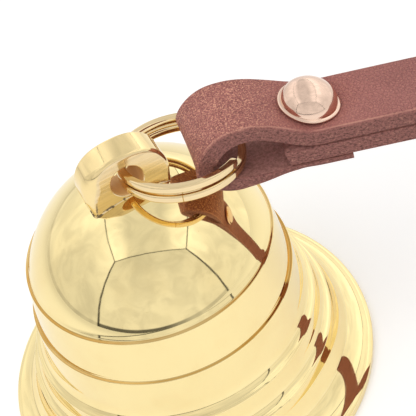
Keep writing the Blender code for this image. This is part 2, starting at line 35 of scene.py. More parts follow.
# Bell: its dome, and the heights between which brown shade is painted into the corners of the two ledges.
DOME_RADIUS = 26.75 * MM
DOME_CENTRE_Z = 30.574 * MM
CROWN_Z = DOME_CENTRE_Z + DOME_RADIUS
BELL_STEPS = 256
LEDGE_CORNERS = ((40.56 * MM, 40.73 * MM), (30.23 * MM, 30.38 * MM))
LEDGE_SOFT = 0.08 * MM

# Lug on the crown: an arch on two upright ends, with a cross hole.
LUG_YAW = math.radians(21.8)
LUG_HALF_LENGTH = 8.7 * MM
LUG_FOOT_HALF_LENGTH = 8.1 * MM
LUG_HALF_THICK = 3.25 * MM
LUG_ARCH_RISE = 7.5 * MM
LUG_ARCH_POWER = 2.35
LUG_HOLE_RADIUS = 3.3 * MM
LUG_HOLE_EDGE = 0.45 * MM
LUG_HOLE_FLARE = 0.95
LUG_HOLE_Z = 61.074 * MM
LUG_SPRING_Z = LUG_HOLE_Z - 1.4 * MM
LUG_FOOT_Z = CROWN_Z - 3.75 * MM
LUG_EDGE = 0.75 * MM
LUG_EDGE_STEPS = 12
LUG_ARCH_STEPS = 132
LUG_SIDE_STEPS = 16
LUG_FOOT_STEPS = 24
SEAM = 0.3 * MM
SLIVER = 0.004 * MM
FLAT_FACE = 0.9999

# Its near left edge widens upwards: how much, from which height and over which climb.
LUG_END_EDGE = 3.2 * MM
LUG_END_LOW_Z = 56.2 * MM
LUG_END_CLIMB = 8.3 * MM

# Bead of braze round the lug's foot.
BEAD_RADIUS = 0.22 * MM
BEAD_LIFT = 0.02 * MM
BEAD_PAST_END = 0.1 * MM
BEAD_CORNER = 1.0 * MM
BEAD_SPREAD = 14 * MM
BEAD_STEPS = 160
BEAD_UNEVEN = 0.45
BEAD_UNEVEN_SCALE = 700

# Dark flux: the near corner of the foot, which has most of it, and a leaning line up the left edge.
FLUX_CORNER = (-6.3 * MM, -6.0 * MM, 56.0 * MM)
FLUX_LINE_X = -7.85 * MM
FLUX_LINE_Z = 55.9 * MM
FLUX_LINE_LEAN = 0.24
FLUX_LINE_WIDTH = (0.08 * MM, 0.24 * MM)
FLUX_LINE_FADE = (57.6 * MM, 60.2 * MM)

# Split ring: two turns of wire with a step between them.
RING_RADIUS = 11.7 * MM
RING_WIRE = 0.8 * MM
RING_CORNER = 0.42 * MM
RING_COIL_STEP = 2.1 * MM
RING_STEP_ANGLE = math.radians(20.0)
RING_END_ANGLE = math.radians(10.0)
RING_END_SHARE = 0.82
RING_BAR_ANGLE = math.radians(-9.88)
RING_STEPS = 260
RING_FRAME = (Matrix.Translation((0.0, 0.0, 61.049 * MM)) @ Matrix.Rotation(math.radians(9.0), 4, "Z")
              @ Matrix.Rotation(math.radians(5.7), 4, "Y") @ Matrix.Rotation(math.radians(-9.0), 4, "X"))

# Cut end of the ring's lower coil, and the way the wire runs there.
BUTT_POINT = (11.444 * MM, -9.886 * MM, 60.846 * MM)
BUTT_TANGENT = (0.9974, -0.0105, -0.0717)

# Strap: one length of leather, folded round the ring and riveted through three layers.
STRAP_WIDTH = 14.2 * MM
STRAP_Y = 1.65 * MM
LEATHER = 3.7 * MM
SKIVED = 1.0 * MM
LAYER_GAP = 0.3 * MM
BAR_X = 23.168 * MM
BAR_Z = 59.055 * MM
RIVET_REACH = 14.12 * MM
RIVET_X = BAR_X + RIVET_REACH
OUTER_Z = BAR_Z + 4.86 * MM
INNER_Z = OUTER_Z - LEATHER - LAYER_GAP
LOWER_TOP_Z = INNER_Z - LEATHER / 2 - LAYER_GAP
INNER_LAP = 6.0 * MM
INNER_END_SLANT = 0.19
LOWER_LAP = 6.1 * MM
STRAIGHT_RUN = 22.7 * MM
BEND_RADIUS = 48.0 * MM
BEND_ANGLE = math.radians(62.0)
HANG_EYE_RADIUS = 7.0 * MM
HANG_EYE_STEPS = 12
TAIL_STEPS = 8
LINE_STEPS = 8
FOLD_SKEW = 3.5 * MM
FOLD_SAG = 2.8 * MM

# Middle of the leather: over the ring as shares of the way to the rivet, then round the fold with
# the shares of its thickness.
ARCH = [(0.766, 5.8 * MM), (0.515, 7.4 * MM), (0.272, 8.75 * MM), (0.045, 9.25 * MM)]
FOLD = [(-3.05 * MM, 8.7 * MM, 1.0), (-6.05 * MM, 6.75 * MM, 1.0), (-8.0 * MM, 3.95 * MM, 1.0),
        (-7.65 * MM, 1.3 * MM, 1.0), (-6.8 * MM, -0.95 * MM, 1.0), (-4.9 * MM, -3.25 * MM, 0.92),
        (-1.6 * MM, -4.15 * MM, 0.88), (2.9 * MM, -3.6 * MM, 0.62)]

# The strap's edges: rounding of the grain and flesh sides, and raggedness along, out and across.
GRAIN_ROUND = 0.62 * MM
FLESH_ROUND = 0.4 * MM
RAGGED_DEPTH = 0.07 * MM
RAGGED_SCALE = (420, 900, 90)

# Rivet: a domed cap with a narrow brim, set askew in a hollow of the leather.
CAP_RADIUS = 5.9 * MM
CAP_HEIGHT = 4.5 * MM
CAP_LIFT = 0.65 * MM
CAP_DOME_RADIUS = 5.3 * MM
CAP_DOME_FOOT = 0.04 * MM
BRIM_HEIGHT = 0.62 * MM
BRIM_ROUND = 0.3 * MM
CAP_TILT = math.radians(17.0)
CAP_SEAT = (Matrix.Translation((RIVET_X, STRAP_Y, OUTER_Z + LEATHER / 2 + CAP_LIFT))
            @ Matrix.Rotation(CAP_TILT, 4, "Y"))
HOLLOW_SLOPE = 0.8
HOLLOW_GAP = 0.1 * MM
HOLLOW_SOFT = 0.7 * MM
TUBE_RADIUS = 2.0 * MM

# Disc under the strap: its side and bulge as radius and drop below its top, in millimetres.
BASE_RADIUS = 4.5 * MM
BASE_TOP_Z = LOWER_TOP_Z - SKIVED - LAYER_GAP
BASE_PROFILE = [(4.3, 0.0), (4.45, 0.06), (4.5, 0.2), (4.5, 0.75), (4.4, 1.0), (4.1, 1.2), (3.4, 1.31),
                (2.2, 1.38), (1.0, 1.4), (0.0, 1.4)]

# Clapper, from the boss down. An eye's and the link's radius are to the middle of the wire.
BOSS_Z = 50.524 * MM
SCREW_RADIUS = 2.0 * MM
SCREW_DEPTH = 4.7 * MM
SCREW_EYE = 4.2 * MM
EYE_WIRE = 1.1 * MM
CROWN_NUT_TOP_Z = BOSS_Z - SEAM
CROWN_NUT_FLATS = 7.0 * MM
CROWN_NUT_HEIGHT = 3.0 * MM
CROWN_NUT_BORE = 2.3 * MM
EYE_Z = CROWN_NUT_TOP_Z - 8.9 * MM
LINK_RADIUS = 4.0 * MM
LINK_WIRE = 0.8 * MM
LINK_Z = EYE_Z - SCREW_EYE - 1.8 * MM
ROD_RADIUS = 1.1 * MM
ROD_DEPTH = 5.7 * MM
ROD_EYE = 3.4 * MM
ROD_EYE_Z = LINK_Z - 5.2 * MM
BALL_TOP_Z = ROD_EYE_Z - 10.7 * MM
BALL_RADIUS = 8.0 * MM
BALL_Z = BALL_TOP_Z - BALL_RADIUS
BALL_NUT_FLATS = 5.0 * MM
BALL_NUT_HEIGHT = 2.0 * MM
BALL_BORE = 1.4 * MM
BALL_BORE_DEPTH = 6.0 * MM
BALL_BORE_EASE = 0.2 * MM
BALL_START_ANGLE = 79.9
SHANK_EASE = 0.3 * MM
NUT_EASE = 0.3 * MM
NUT_CHAMFER = 0.55

# Colours
WHITE = (1.0, 1.0, 1.0, 1.0)
BRIGHT_BRASS = (0.97, 0.80, 0.41, 1.0)
DULL_BRASS = (0.86, 0.66, 0.30, 1.0)
INSIDE_BRASS = (0.80, 0.62, 0.30, 1.0)
# Painted brown shade for the bell's ledge corners; the ring's butt mark takes this colour too.
CORNER_BROWN = (0.58, 0.32, 0.07, 1.0)
LUG_COLOUR = (0.94, 0.74, 0.38, 1.0)
FACE_LIGHT = (0.86, 0.68, 0.40, 1.0)
FACE_DARK = (0.77, 0.60, 0.345, 1.0)
FLUX_BROWN = (0.12, 0.075, 0.03, 1.0)
# Painted reflection: deep orange of the lug's bore, standing in for brass mirrored in brass.
HOLE_BRASS = (0.88, 0.55, 0.22, 1.0)
GILT_COLOUR = (0.88, 0.69, 0.40, 1.0)
GILT_DULL = (0.78, 0.58, 0.30, 1.0)
ROSE_COLOUR = (0.88, 0.64, 0.50, 1.0)
ROSE_DULL = (0.72, 0.50, 0.39, 1.0)
HIDE_LIGHT = (0.47, 0.175, 0.147, 1.0)
HIDE_DARK = (0.355, 0.125, 0.105, 1.0)
HIDE_FAR = (0.35, 0.14, 0.13, 1.0)
# Painted shade for the grain's creases and dips, then painted highlight for its raised grain.
PAINTED_CREASE_SHADE = (0.21, 0.075, 0.065, 1.0)
PAINTED_GRAIN_HIGHLIGHT = (0.80, 0.40, 0.27, 1.0)
EDGE_LIGHT = (0.38, 0.16, 0.135, 1.0)
EDGE_DARK = (0.12, 0.052, 0.048, 1.0)
EDGE_RUBBED = (0.60, 0.29, 0.22, 1.0)
FLESH_LIGHT = (0.52, 0.25, 0.22, 1.0)
FLESH_DARK = (0.30, 0.14, 0.115, 1.0)
SHEET_LIGHT = (0.96, 0.96, 0.96, 1.0)
SHEET_DARK = (0.93, 0.93, 0.93, 1.0)

# Fineness of each pattern, in grains to the metre.
TARNISH_SCALE = 75.0
SPECK_SCALE = 1900.0
WAVE_SCALE = 140.0
TOOL_MARK_SCALE = (8.0, 8.0, 2600.0)
BRUSH_SCALE = (90.0, 90.0, 2200.0)
FLUX_SCALE = 1100.0
PEBBLE_SCALE = 1500.0
PORE_SCALE = 3100.0
CLOUD_SCALE = 130.0
FIBRE_SCALE = (1700.0, 2600.0, 1.0)
FUZZ_SCALE = 1500.0
WEAVE_SCALE = 40.0

# Tent, as shares of its height: where its left, right and front walls stand from the bell.
TENT_LEFT = 0.555
TENT_RIGHT = 0.72
TENT_FRONT = 0.44

# Lamp, sheet and camera. Places and sizes are in metres, the lamp's power is in watts, and the lens and
# its sensor are in millimetres.
LAMP_SIZE = 0.5
LAMP_POWER = 1.0
LAMP_PLACE = (-0.12, -0.18, 0.55)
LAMP_AIM = (0.02, 0.0, 0.04)
SHEET_HALF = 4.0
VIEW_PLACE = (43.47 * MM, -188.76 * MM, 243.26 * MM)
VIEW_RIGHT = (0.9725, -0.0759, -0.2204)
VIEW_BACK = (0.1089, -0.6878, 0.7177)
VIEW_LENS = 121.77
VIEW_SENSOR = 36.0
VIEW_NEAR = 0.01
VIEW_FAR = 20.0


# Node trees

def feed(socket, value):
    """Links a node's output, or writes a plain value, into an input."""
    if isinstance(value, bpy.types.NodeSocket):
        socket.id_data.links.new(value, socket)
    else:
        socket.default_value = value


def put(tree, kind, values=None, **settings):
    """Adds a node, sets its options, fills its inputs and returns its outputs."""
    item = tree.nodes.new(kind)
    for key, value in settings.items():
        setattr(item, key, value)
    for key, value in (values or {}).items():
        feed(item.inputs[key], value)
    return item.outputs


def home(*values):
    """The node tree that the first output among some values is in."""
    return next(value.id_data for value in values if isinstance(value, bpy.types.NodeSocket))


def calc(operation, first, second=0.0, clamp=False):
    """Result of one operation on two values."""
    values = {0: first, 1: second}
    return put(home(first, second), "ShaderNodeMath", values, operation=operation, use_clamp=clamp)[0]


# The sum, difference, quotient and larger of two values, and one value without its sign.
plus = partial(calc, "ADD")
minus = partial(calc, "SUBTRACT")
over = partial(calc, "DIVIDE")
larger = partial(calc, "MAXIMUM")
size_of = partial(calc, "ABSOLUTE")


def times(first, *others):
    """Product of values."""
    for other in others:
        first = calc("MULTIPLY", first, other)
    return first


def remap(value, low, high, new_low=0.0, new_high=1.0):
    """A soft step of a value between two limits."""
    limits = {0: value, 1: low, 2: high, 3: new_low, 4: new_high}
    return put(home(value), "ShaderNodeMapRange", limits, interpolation_type="SMOOTHSTEP")[0]


def between(value, low, high, soft):
    """Mask that is 1 between two limits, with soft ends."""
    return calc("SUBTRACT", remap(value, low - soft, low), remap(value, high, high + soft), clamp=True)


def mixed(share, first, second):
    """Mix of two colours."""
    return put(home(share), "ShaderNodeMix", {0: share, 6: first, 7: second}, data_type="RGBA")[2]


def either(share, first, second):
    """Mix of two values."""
    return put(home(share), "ShaderNodeMix", {0: share, 2: first, 3: second}, data_type="FLOAT")[0]


def vectors(operation, first, second, output="Vector"):
    """Result of one operation on two vectors."""
    return put(home(first), "ShaderNodeVectorMath", {0: first, 1: second}, operation=operation)[output]


def distance(place, spot):
    """How far a place is from a spot."""
    return vectors("DISTANCE", place, spot, "Value")


def parted(vector):
    """The three coordinates of a vector."""
    return put(home(vector), "ShaderNodeSeparateXYZ", {0: vector})


def cloudy(vector, scale, detail, roughness=0.5, distortion=0.0):
    """Soft random values about one half."""
    return put(home(vector), "ShaderNodeTexNoise", {
        "Vector": vector, "Scale": scale, "Detail": detail, "Roughness": roughness,
        "Distortion": distortion})[0]


def drawn_out(vector, scales, detail, roughness=0.5):
    """Soft random values with their own scale along each axis."""
    return cloudy(vectors("MULTIPLY", vector, scales), 1.0, detail, roughness)


def attribute(tree, name):
    """Value that a piece's points carry."""
    return put(tree, "ShaderNodeAttribute", attribute_name=name)["Fac"]


def new_tree(name, kind, inputs, outputs):
    """A node group, with the named sockets that it is given and those that it makes."""
    tree = bpy.data.node_groups.new(name, kind)
    for label, socket in inputs:
        tree.interface.new_socket(label, in_out="INPUT", socket_type="NodeSocket" + socket)
    for label, socket in outputs:
        tree.interface.new_socket(label, in_out="OUTPUT", socket_type="NodeSocket" + socket)
    return tree, tree.nodes.new("NodeGroupInput").outputs, tree.nodes.new("NodeGroupOutput").inputs


# Geometry Nodes: turned solids and wires

def sampled(shape, value, kind, index):
    """Value at one point of a shape."""
    values = {"Geometry": shape, "Value": value, "Index": index}
    return put(home(shape), "GeometryNodeSampleIndex", values, data_type=kind)[0]


def named_value(tree, name):
    """Value that a line's points carry."""
    return put(tree, "GeometryNodeInputNamedAttribute", {"Name": name}, data_type="FLOAT")[0]


def finished(shape, skin, output):
    """Ends a tree: real geometry with its material."""
    real = put(home(shape), "GeometryNodeRealizeInstances", {"Geometry": shape})[0]
    feed(output, put(home(shape), "GeometryNodeSetMaterial", {"Geometry": real, "Material": skin})[0])


def turned_tree():
    """Turns a profile in the XZ plane round Z, and carries its finish along."""
    tree, given, made = new_tree(
        "turned_solid", "GeometryNodeTree",
        [("Profile", "Geometry"), ("Steps", "Int"), ("Skin", "Material")], [("Solid", "Geometry")])
    profile = given["Profile"]
    count = put(tree, "GeometryNodeAttributeDomainSize", {"Geometry": profile})["Point Count"]
    columns = plus(given["Steps"], 1.0)
    grid = put(tree, "GeometryNodeMeshGrid", {"Vertices X": columns, "Vertices Y": count})["Mesh"]
    index = put(tree, "GeometryNodeInputIndex")[0]
    column = calc("FLOOR", over(plus(index, 0.5), count))
    row = calc("MODULO", index, count)
    turn = times(over(column, given["Steps"]), 2 * math.pi)
    place = put(tree, "GeometryNodeInputPosition")[0]
    point = parted(sampled(profile, place, "FLOAT_VECTOR", row))
    finish = sampled(profile, named_value(tree, "finish"), "FLOAT", row)
    spot = put(tree, "ShaderNodeCombineXYZ", {
        0: times(point[0], calc("COSINE", turn)),
        1: times(point[0], calc("SINE", turn)), 2: point[2]})[0]
    marked = put(tree, "GeometryNodeStoreNamedAttribute",
                 {"Geometry": grid, "Name": "finish", "Value": finish}, data_type="FLOAT")[0]
    moved = put(tree, "GeometryNodeSetPosition", {"Geometry": marked, "Position": spot})[0]
    closed = put(tree, "GeometryNodeMergeByDistance", {"Geometry": moved, "Distance": 0.001 * MM})[0]
    finished(closed, given["Skin"], made["Solid"])
    return tree


def swept(line, section):
    """Sweeps a section along a line, with the line's own share of its thickness and closed ends."""
    share = named_value(home(line), "share")
    values = {"Curve": line, "Profile Curve": section, "Scale": share, "Fill Caps": True}
    return put(home(line), "GeometryNodeCurveToMesh", values)[0]


def wire_tree():
    """Runs a round wire along a line of points."""
    tree, given, made = new_tree(
        "round_wire", "GeometryNodeTree",
        [("Line", "Geometry"), ("Radius", "Float"), ("Sides", "Int"), ("Skin", "Material")],
        [("Wire", "Geometry")])
    line = put(tree, "GeometryNodeMeshToCurve", {"Mesh": given["Line"]})[0]
    circle = put(tree, "GeometryNodeCurvePrimitiveCircle",
                 {"Resolution": given["Sides"], "Radius": given["Radius"]})[0]
    finished(swept(line, circle), given["Skin"], made["Wire"])
    return tree


def flat_wire_tree():
    """Runs a wire of rounded square section along a line that lies flat round Z."""
    tree, given, made = new_tree(
        "flat_wire", "GeometryNodeTree",
        [("Line", "Geometry"), ("Side", "Float"), ("Corner", "Float"), ("Skin", "Material")],
        [("Wire", "Geometry")])
    line = put(tree, "GeometryNodeMeshToCurve", {"Mesh": given["Line"]})[0]
    level = put(tree, "GeometryNodeSetCurveNormal", {"Curve": line}, mode="Z_UP")[0]
    square = put(tree, "GeometryNodeCurvePrimitiveQuadrilateral",
                 {"Width": given["Side"], "Height": given["Side"]})[0]
    section = put(tree, "GeometryNodeFilletCurve", {
        "Curve": square, "Count": 5, "Radius": given["Corner"]}, mode="POLY")[0]
    finished(swept(level, section), given["Skin"], made["Wire"])
    return tree


# Pieces

def add(name, mesh):
    """A new object of a mesh, in the scene."""
    piece = bpy.data.objects.new(name, mesh)
    bpy.context.scene.collection.objects.link(piece)
    return piece


def formed(name, edit, skin):
    """A new piece from a mesh in the making, with its material."""
    mesh = bpy.data.meshes.new(name)
    edit.to_mesh(mesh)
    edit.free()
    mesh.materials.append(skin)
    return add(name, mesh)


def discard(*tools):
    """Removes objects that are no longer needed."""
    for tool in tools:
        bpy.data.objects.remove(tool, do_unlink=True)


def shaded(mesh, sharp):
    """Smooth shading, with sharp edges past an angle in degrees."""
    mesh.shade_smooth()
    mesh.set_sharp_from_angle(angle=math.radians(sharp))


def plain(piece, sharp):
    """Bakes a piece's modifiers into a plain mesh with outward normals."""
    bpy.context.view_layer.update()
    mesh = bpy.data.meshes.new_from_object(piece.evaluated_get(bpy.context.evaluated_depsgraph_get()))
    piece.modifiers.clear()
    piece.data = mesh
    edit = bmesh.new()
    edit.from_mesh(mesh)
    bmesh.ops.recalc_face_normals(edit, faces=edit.faces)
    edit.to_mesh(mesh)
    edit.free()
    shaded(mesh, sharp)
    return piece


def grown(name, points, shares, label, closed, tree, values, sharp):
    """A piece grown by a node tree from a line of points, each with its own share of something."""
    mesh = bpy.data.meshes.new(name)
    edges = [(k, k + 1) for k in range(len(points) - 1)]
    if closed:
        edges.append((len(points) - 1, 0))
    mesh.from_pydata(points, edges, [])
    mesh.attributes.new(label, "FLOAT", "POINT").data.foreach_set("value", shares)
    piece = add(name, mesh)
    change = piece.modifiers.new(tree.name, "NODES")
    change.node_group = tree
    for item in tree.interface.items_tree:
        if item.in_out == "INPUT" and item.name in values:
            change[item.identifier] = values[item.name]
    return plain(piece, sharp)


def turned(name, profile, skin, steps=96, finish=None, sharp=40):
    """A piece turned round Z from a profile of radius and height."""
    points = [(radius, 0.0, height) for radius, height in profile]
    shares = finish or [0.0] * len(points)
    return grown(name, points, shares, "finish", False, TURNED, {"Steps": steps, "Skin": skin}, sharp)


def wire_loop(name, points, radius, skin, sides=20, shares=None):
    """A closed loop of round wire."""
    shares = shares or [1.0] * len(points)
    return grown(name, points, shares, "share", True, WIRE,
                 {"Radius": radius, "Sides": sides, "Skin": skin}, 40)


def joined(piece, *others):
    """Joins separate closed shells of one piece into its mesh."""
    edit = bmesh.new()
    edit.from_mesh(piece.data)
    for other in others:
        edit.from_mesh(other.data)
    discard(*others)
    edit.to_mesh(piece.data)
    edit.free()
    return piece


def cut(piece, tool, operation="DIFFERENCE"):
    """Cuts a piece with a tool, or keeps only what they share."""
    change = piece.modifiers.new("cut", "BOOLEAN")
    change.operation = operation
    change.solver = "MANIFOLD"
    change.object = tool


def settle(piece, body, slot, *nodes):
    """Puts a finished piece on its body, in place of its plain solids."""
    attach(piece, body)
    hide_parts(*nodes)


def clamped(value):
    """A value kept between 0 and 1."""
    return min(1.0, max(0.0, value))


def eased(share):
    """A share from 0 to 1 with a soft start and end."""
    return share * share * (3 - 2 * share)


# Bell, with its profiles in millimetres

def arc(centre, radius, start, end, count):
    """Points of an arc, with angles in degrees."""
    turns = [math.radians(start + (end - start) * k / count) for k in range(count + 1)]
    return [(centre[0] + radius * math.cos(t), centre[1] + radius * math.sin(t)) for t in turns]


def edge(radius, height, size, count=6):
    """Rounded outer edge of a ledge."""
    return arc((radius - size, height - size), size, 90, 0, count)


def wall(top, bottom):
    """Straight side with close loops at both ends, which keep its shading flat."""
    return [(top[0] + (bottom[0] - top[0]) * t, top[1] + (bottom[1] - top[1]) * t)
            for t in (0.0, 0.04, 0.3, 0.7, 0.96, 1.0)]


def cove(top, bottom, hollow, count):
    """Hollow that runs out from a wall to the crest below: 0 is straight and 1 fills the corner."""
    middle = ((top[0] + bottom[0]) / 2, (top[1] + bottom[1]) / 2)
    pull = (middle[0] + hollow * (top[0] - middle[0]), middle[1] + hollow * (bottom[1] - middle[1]))
    line = []
    for k in range(count + 1):
        t = k / count
        weights = ((1 - t) ** 2, 2 * t * (1 - t), t * t)
        line.append(tuple(sum(w * p[i] for w, p in zip(weights, (top, pull, bottom))) for i in (0, 1)))
    return line


def bell_outside():
    """Dome, four bands and the flared lip."""
    line = arc((0.0, DOME_CENTRE_Z / MM), DOME_RADIUS / MM, 90, 24.0, 64)
    line[0] = (0.0, CROWN_Z / MM)
    line += [(24.62, 41.2), (24.76, 40.92), (24.86, 40.72), (24.98, 40.63), (25.08, 40.61)]
    line += edge(25.45, 40.6, 0.26)
    line += wall((25.47, 40.15), (26.66, 30.75))
    line += [(26.71, 30.44), (26.79, 30.31), (26.92, 30.28)]
    line += edge(27.35, 30.27, 0.26)
    line += wall((27.37, 29.85), (27.9, 22.5))
    line += cove((27.91, 22.4), (29.72, 19.42), 0.62, 14)
    line += arc((29.74, 19.02), 0.27, 62, 4, 6)
    line += wall((30.02, 18.9), (30.25, 15.9))
    line += cove((30.26, 15.8), (32.07, 13.3), 0.62, 14)
    line += arc((32.1, 12.91), 0.27, 62, 4, 6)
    line += wall((32.38, 12.8), (32.55, 10.5))
    line += cove((32.56, 10.4), (38.95, 2.95), 0.72, 24)
    line += arc((39.22, 2.16), 0.46, 66, 4, 6)
    line += wall((39.67, 2.05), (39.55, 0.6))
    return line + arc((39.1, 0.45), 0.45, 0, -90, 6)


def bell_inside():
    """Mouth, plain inner wall and the boss under the crown, with eased corners."""
    line = [(38.9, 0.0), (36.6, 0.0), (36.3, 0.08), (36.2, 0.3)]
    line += cove((29.75, 10.4), (36.1, 0.6), 0.72, 16)[::-1]
    line += [(29.2, 11.6), (27.7, 15.2), (27.2, 16.6), (25.5, 21.6), (25.1, 23.0), (24.0, 29.4)]
    line.append((23.8, 31.0))
    line += arc((0.0, DOME_CENTRE_Z / MM), 23.95, 9.0, 74.2, 28)
    line += [(6.25, 53.3), (6.06, 53.0), (6.0, 52.6), (6.0, 51.0), (5.93, 50.7), (5.75, 50.55)]
    return line + [(5.5, 50.524), (2.7, 50.524), (2.4, 50.6), (2.3, 50.9), (2.3, 55.4), (0.0, 55.524)]


def make_bell():
    """The turned shell, whose points say which of them are inside."""
    outside = bell_outside()
    inside = bell_inside()
    profile = [(radius * MM, height * MM) for radius, height in outside + inside]
    finish = [0.0] * len(outside) + [1.0] * len(inside)
    bell = turned("turned_bell", profile, BRASS, BELL_STEPS, finish, sharp=60)
    settle(bell, "bell", "bell_brass", "bell_body")


# Lug

def dome_height(x, y):
    """Height of the dome's skin above a spot."""
    return DOME_CENTRE_Z + math.sqrt(DOME_RADIUS ** 2 - x * x - y * y)


def lug_outline():
    """Front view of the lug: the arch from right to left, the left side, the foot and the right side."""
    arch = []
    for k in range(LUG_ARCH_STEPS + 1):
        angle = math.pi * k / LUG_ARCH_STEPS
        across = math.copysign(abs(math.cos(angle)) ** (2 / LUG_ARCH_POWER), math.cos(angle))
        rise = math.sin(angle) ** (2 / LUG_ARCH_POWER)
        arch.append(Vector((LUG_HALF_LENGTH * across, LUG_SPRING_Z + LUG_ARCH_RISE * rise)))
    low = Vector((-LUG_FOOT_HALF_LENGTH, LUG_END_LOW_Z))
    left = [arch[-1].lerp(low, k / LUG_SIDE_STEPS) for k in range(1, LUG_SIDE_STEPS)]
    shares = [2 * k / LUG_FOOT_STEPS - 1 for k in range(LUG_FOOT_STEPS + 1)]
    foot = [Vector((LUG_FOOT_HALF_LENGTH * share, LUG_FOOT_Z)) for share in shares]
    return arch + left + foot + [Vector((-point.x, point.y)) for point in reversed(left)]


def inward(outline):
    """Directions into the outline at its points."""
    ways = []
    for k in range(len(outline)):
        along = (outline[(k + 1) % len(outline)] - outline[k - 1]).normalized()
        ways.append(Vector((-along.y, along.x)))
    return ways


def lug_row(angle, side):
    """One row round the lug, at an angle of its edge's rounding: 0 is on a face."""
    outline = lug_outline()
    drawn = 1 - math.sin(angle)
    sunk = 1 - math.cos(angle)
    row = []
    for point, way in zip(outline, inward(outline)):
        climb = clamped((point.y - LUG_END_LOW_Z) / LUG_END_CLIMB)
        widened = LUG_END_EDGE * max(0.0, way.x) ** 2 * climb if side < 0 else 0.0
        size = LUG_EDGE + widened
        spot = point + way * size * drawn
        depth = side * (LUG_HALF_THICK - size * sunk)
        height = spot.y if point.y > LUG_FOOT_Z else dome_height(spot.x, depth) + SEAM / 3
        row.append((spot.x, depth, height))
    return row


def lug_blank():
    """The arch with its foot on the dome and rounded edges; the near left one widens upwards."""
    angles = [math.radians(90 * k / LUG_EDGE_STEPS) for k in range(LUG_EDGE_STEPS + 1)]
    rows = [lug_row(angle, -1) for angle in angles]
    rows += [lug_row(angle, 1) for angle in reversed(angles)]
    edit = bmesh.new()
    rings = [[edit.verts.new(spot) for spot in row] for row in rows]
    for ring, following in zip(rings, rings[1:]):
        for k in range(len(ring)):
            edit.faces.new((ring[k - 1], ring[k], following[k], following[k - 1]))
    edit.faces.new(rings[0])
    edit.faces.new(rings[-1])
    bmesh.ops.recalc_face_normals(edit, faces=edit.faces)
    return formed("brazed_lug", edit, LUG_BRASS)


def braze_bead():
    """Uneven bead of braze round the lug's foot, on the dome."""
    straight_x = LUG_FOOT_HALF_LENGTH + BEAD_PAST_END - BEAD_CORNER
    straight_y = LUG_HALF_THICK - BEAD_CORNER
    points, shares = [], []
    for k in range(BEAD_STEPS):
        turn = 2 * math.pi * k / BEAD_STEPS
        x = math.copysign(min(abs(math.cos(turn)) * BEAD_SPREAD, straight_x), math.cos(turn))
        y = math.copysign(min(abs(math.sin(turn)) * BEAD_SPREAD, straight_y), math.sin(turn))
        x += BEAD_CORNER * math.cos(turn)
        y += BEAD_CORNER * math.sin(turn)
        z = dome_height(x, y)
        points.append((x, y, z + BEAD_LIFT))
        shares.append(1.0 + BEAD_UNEVEN * noise.noise(Vector((x, y, z)) * BEAD_UNEVEN_SCALE))
    return wire_loop("braze_bead", points, BEAD_RADIUS, LUG_BRASS, 10, shares)


def crisp_faces(piece):
    """Drops slivers left by the cuts, and sharpens the rims of the flat faces so that they shade flat."""
    edit = bmesh.new()
    edit.from_mesh(piece.data)
    bmesh.ops.dissolve_degenerate(edit, dist=SLIVER, edges=edit.edges)
    edit.normal_update()
    for line in edit.edges:
        flat = [abs(face.normal.y) > FLAT_FACE for face in line.link_faces]
        line.smooth = line.smooth and (all(flat) or not any(flat))
    edit.to_mesh(piece.data)
    edit.free()


def make_lug():
    """The lug with its flared hole, brazed on the dome and turned to the ring."""
    lug = lug_blank()
    rim = LUG_HOLE_RADIUS + LUG_HOLE_EDGE
    flare = arc((rim, LUG_HALF_THICK - LUG_HOLE_FLARE * LUG_HOLE_EDGE), LUG_HOLE_EDGE, 180, 90, 8)
    half = flare + [(rim, 2 * LUG_HALF_THICK), (0.0, 2 * LUG_HALF_THICK)]
    spool = [(radius, -height) for radius, height in reversed(half)] + half
    hole = turned("lug_hole_tool", spool, LUG_BRASS)
    lying = Matrix.Rotation(math.radians(90), 4, "X")
    hole.data.transform(Matrix.Translation((0, 0, LUG_HOLE_Z)) @ lying)
    cut(lug, hole)
    plain(lug, sharp=50)
    crisp_faces(lug)
    discard(hole)
    joined(lug, braze_bead())
    lug.data.transform(Matrix.Rotation(LUG_YAW, 4, "Z"))
    settle(lug, "bell", "bell_brass", "crown_lug")


# Ring

def make_ring():
    """Two turns of wire with eased cut ends."""
    first = RING_STEP_ANGLE + RING_END_ANGLE
    last = 4 * math.pi - first
    points = []
    for k in range(RING_STEPS + 1):
        angle = first + (last - first) * k / RING_STEPS
        share = clamped((angle - 2 * math.pi + RING_STEP_ANGLE) / (2 * RING_STEP_ANGLE))
        height = RING_COIL_STEP * (eased(share) - 0.5)
        turn = angle + RING_BAR_ANGLE
        points.append((RING_RADIUS * (1 + math.cos(turn)), RING_RADIUS * math.sin(turn), height))
    shares = [RING_END_SHARE] + [1.0] * (RING_STEPS - 1) + [RING_END_SHARE]
    ring = grown("wound_split_ring", points, shares, "share", False, FLAT_WIRE,
                 {"Side": 2 * RING_WIRE, "Corner": RING_CORNER, "Skin": GILT}, sharp=50)
    ring.data.transform(RING_FRAME)
    settle(ring, "ring", "ring_gilt", "split_ring")


# Strap

def smooth_line(points, count):
    """Smooth curve through points, with the same number of steps between each pair."""
    ends = [points[0], *points, points[-1]]
    line = []
    for a, b, c, d in zip(ends, ends[1:], ends[2:], ends[3:]):
        a, b, c, d = Vector(a), Vector(b), Vector(c), Vector(d)
        for k in range(count):
            t = k / count
            square = (2 * a - 5 * b + 4 * c - d) * t ** 2
            cube = (3 * b - a - 3 * c + d) * t ** 3
            line.append((2 * b + (c - a) * t + square + cube) / 2)
    return [*line, Vector(points[-1])]


def spine(length):
    """Middle of the double strap past its straight run: point and direction at a length along it."""
    turn = min(length / BEND_RADIUS, BEND_ANGLE)
    rest = max(0.0, length - BEND_RADIUS * BEND_ANGLE)
    ahead = Vector((math.cos(turn), -math.sin(turn)))
    start = Vector((RIVET_X + STRAIGHT_RUN, (OUTER_Z + INNER_Z) / 2))
    bent = BEND_RADIUS * Vector((math.sin(turn), math.cos(turn) - 1))
    return start + bent + rest * ahead, ahead


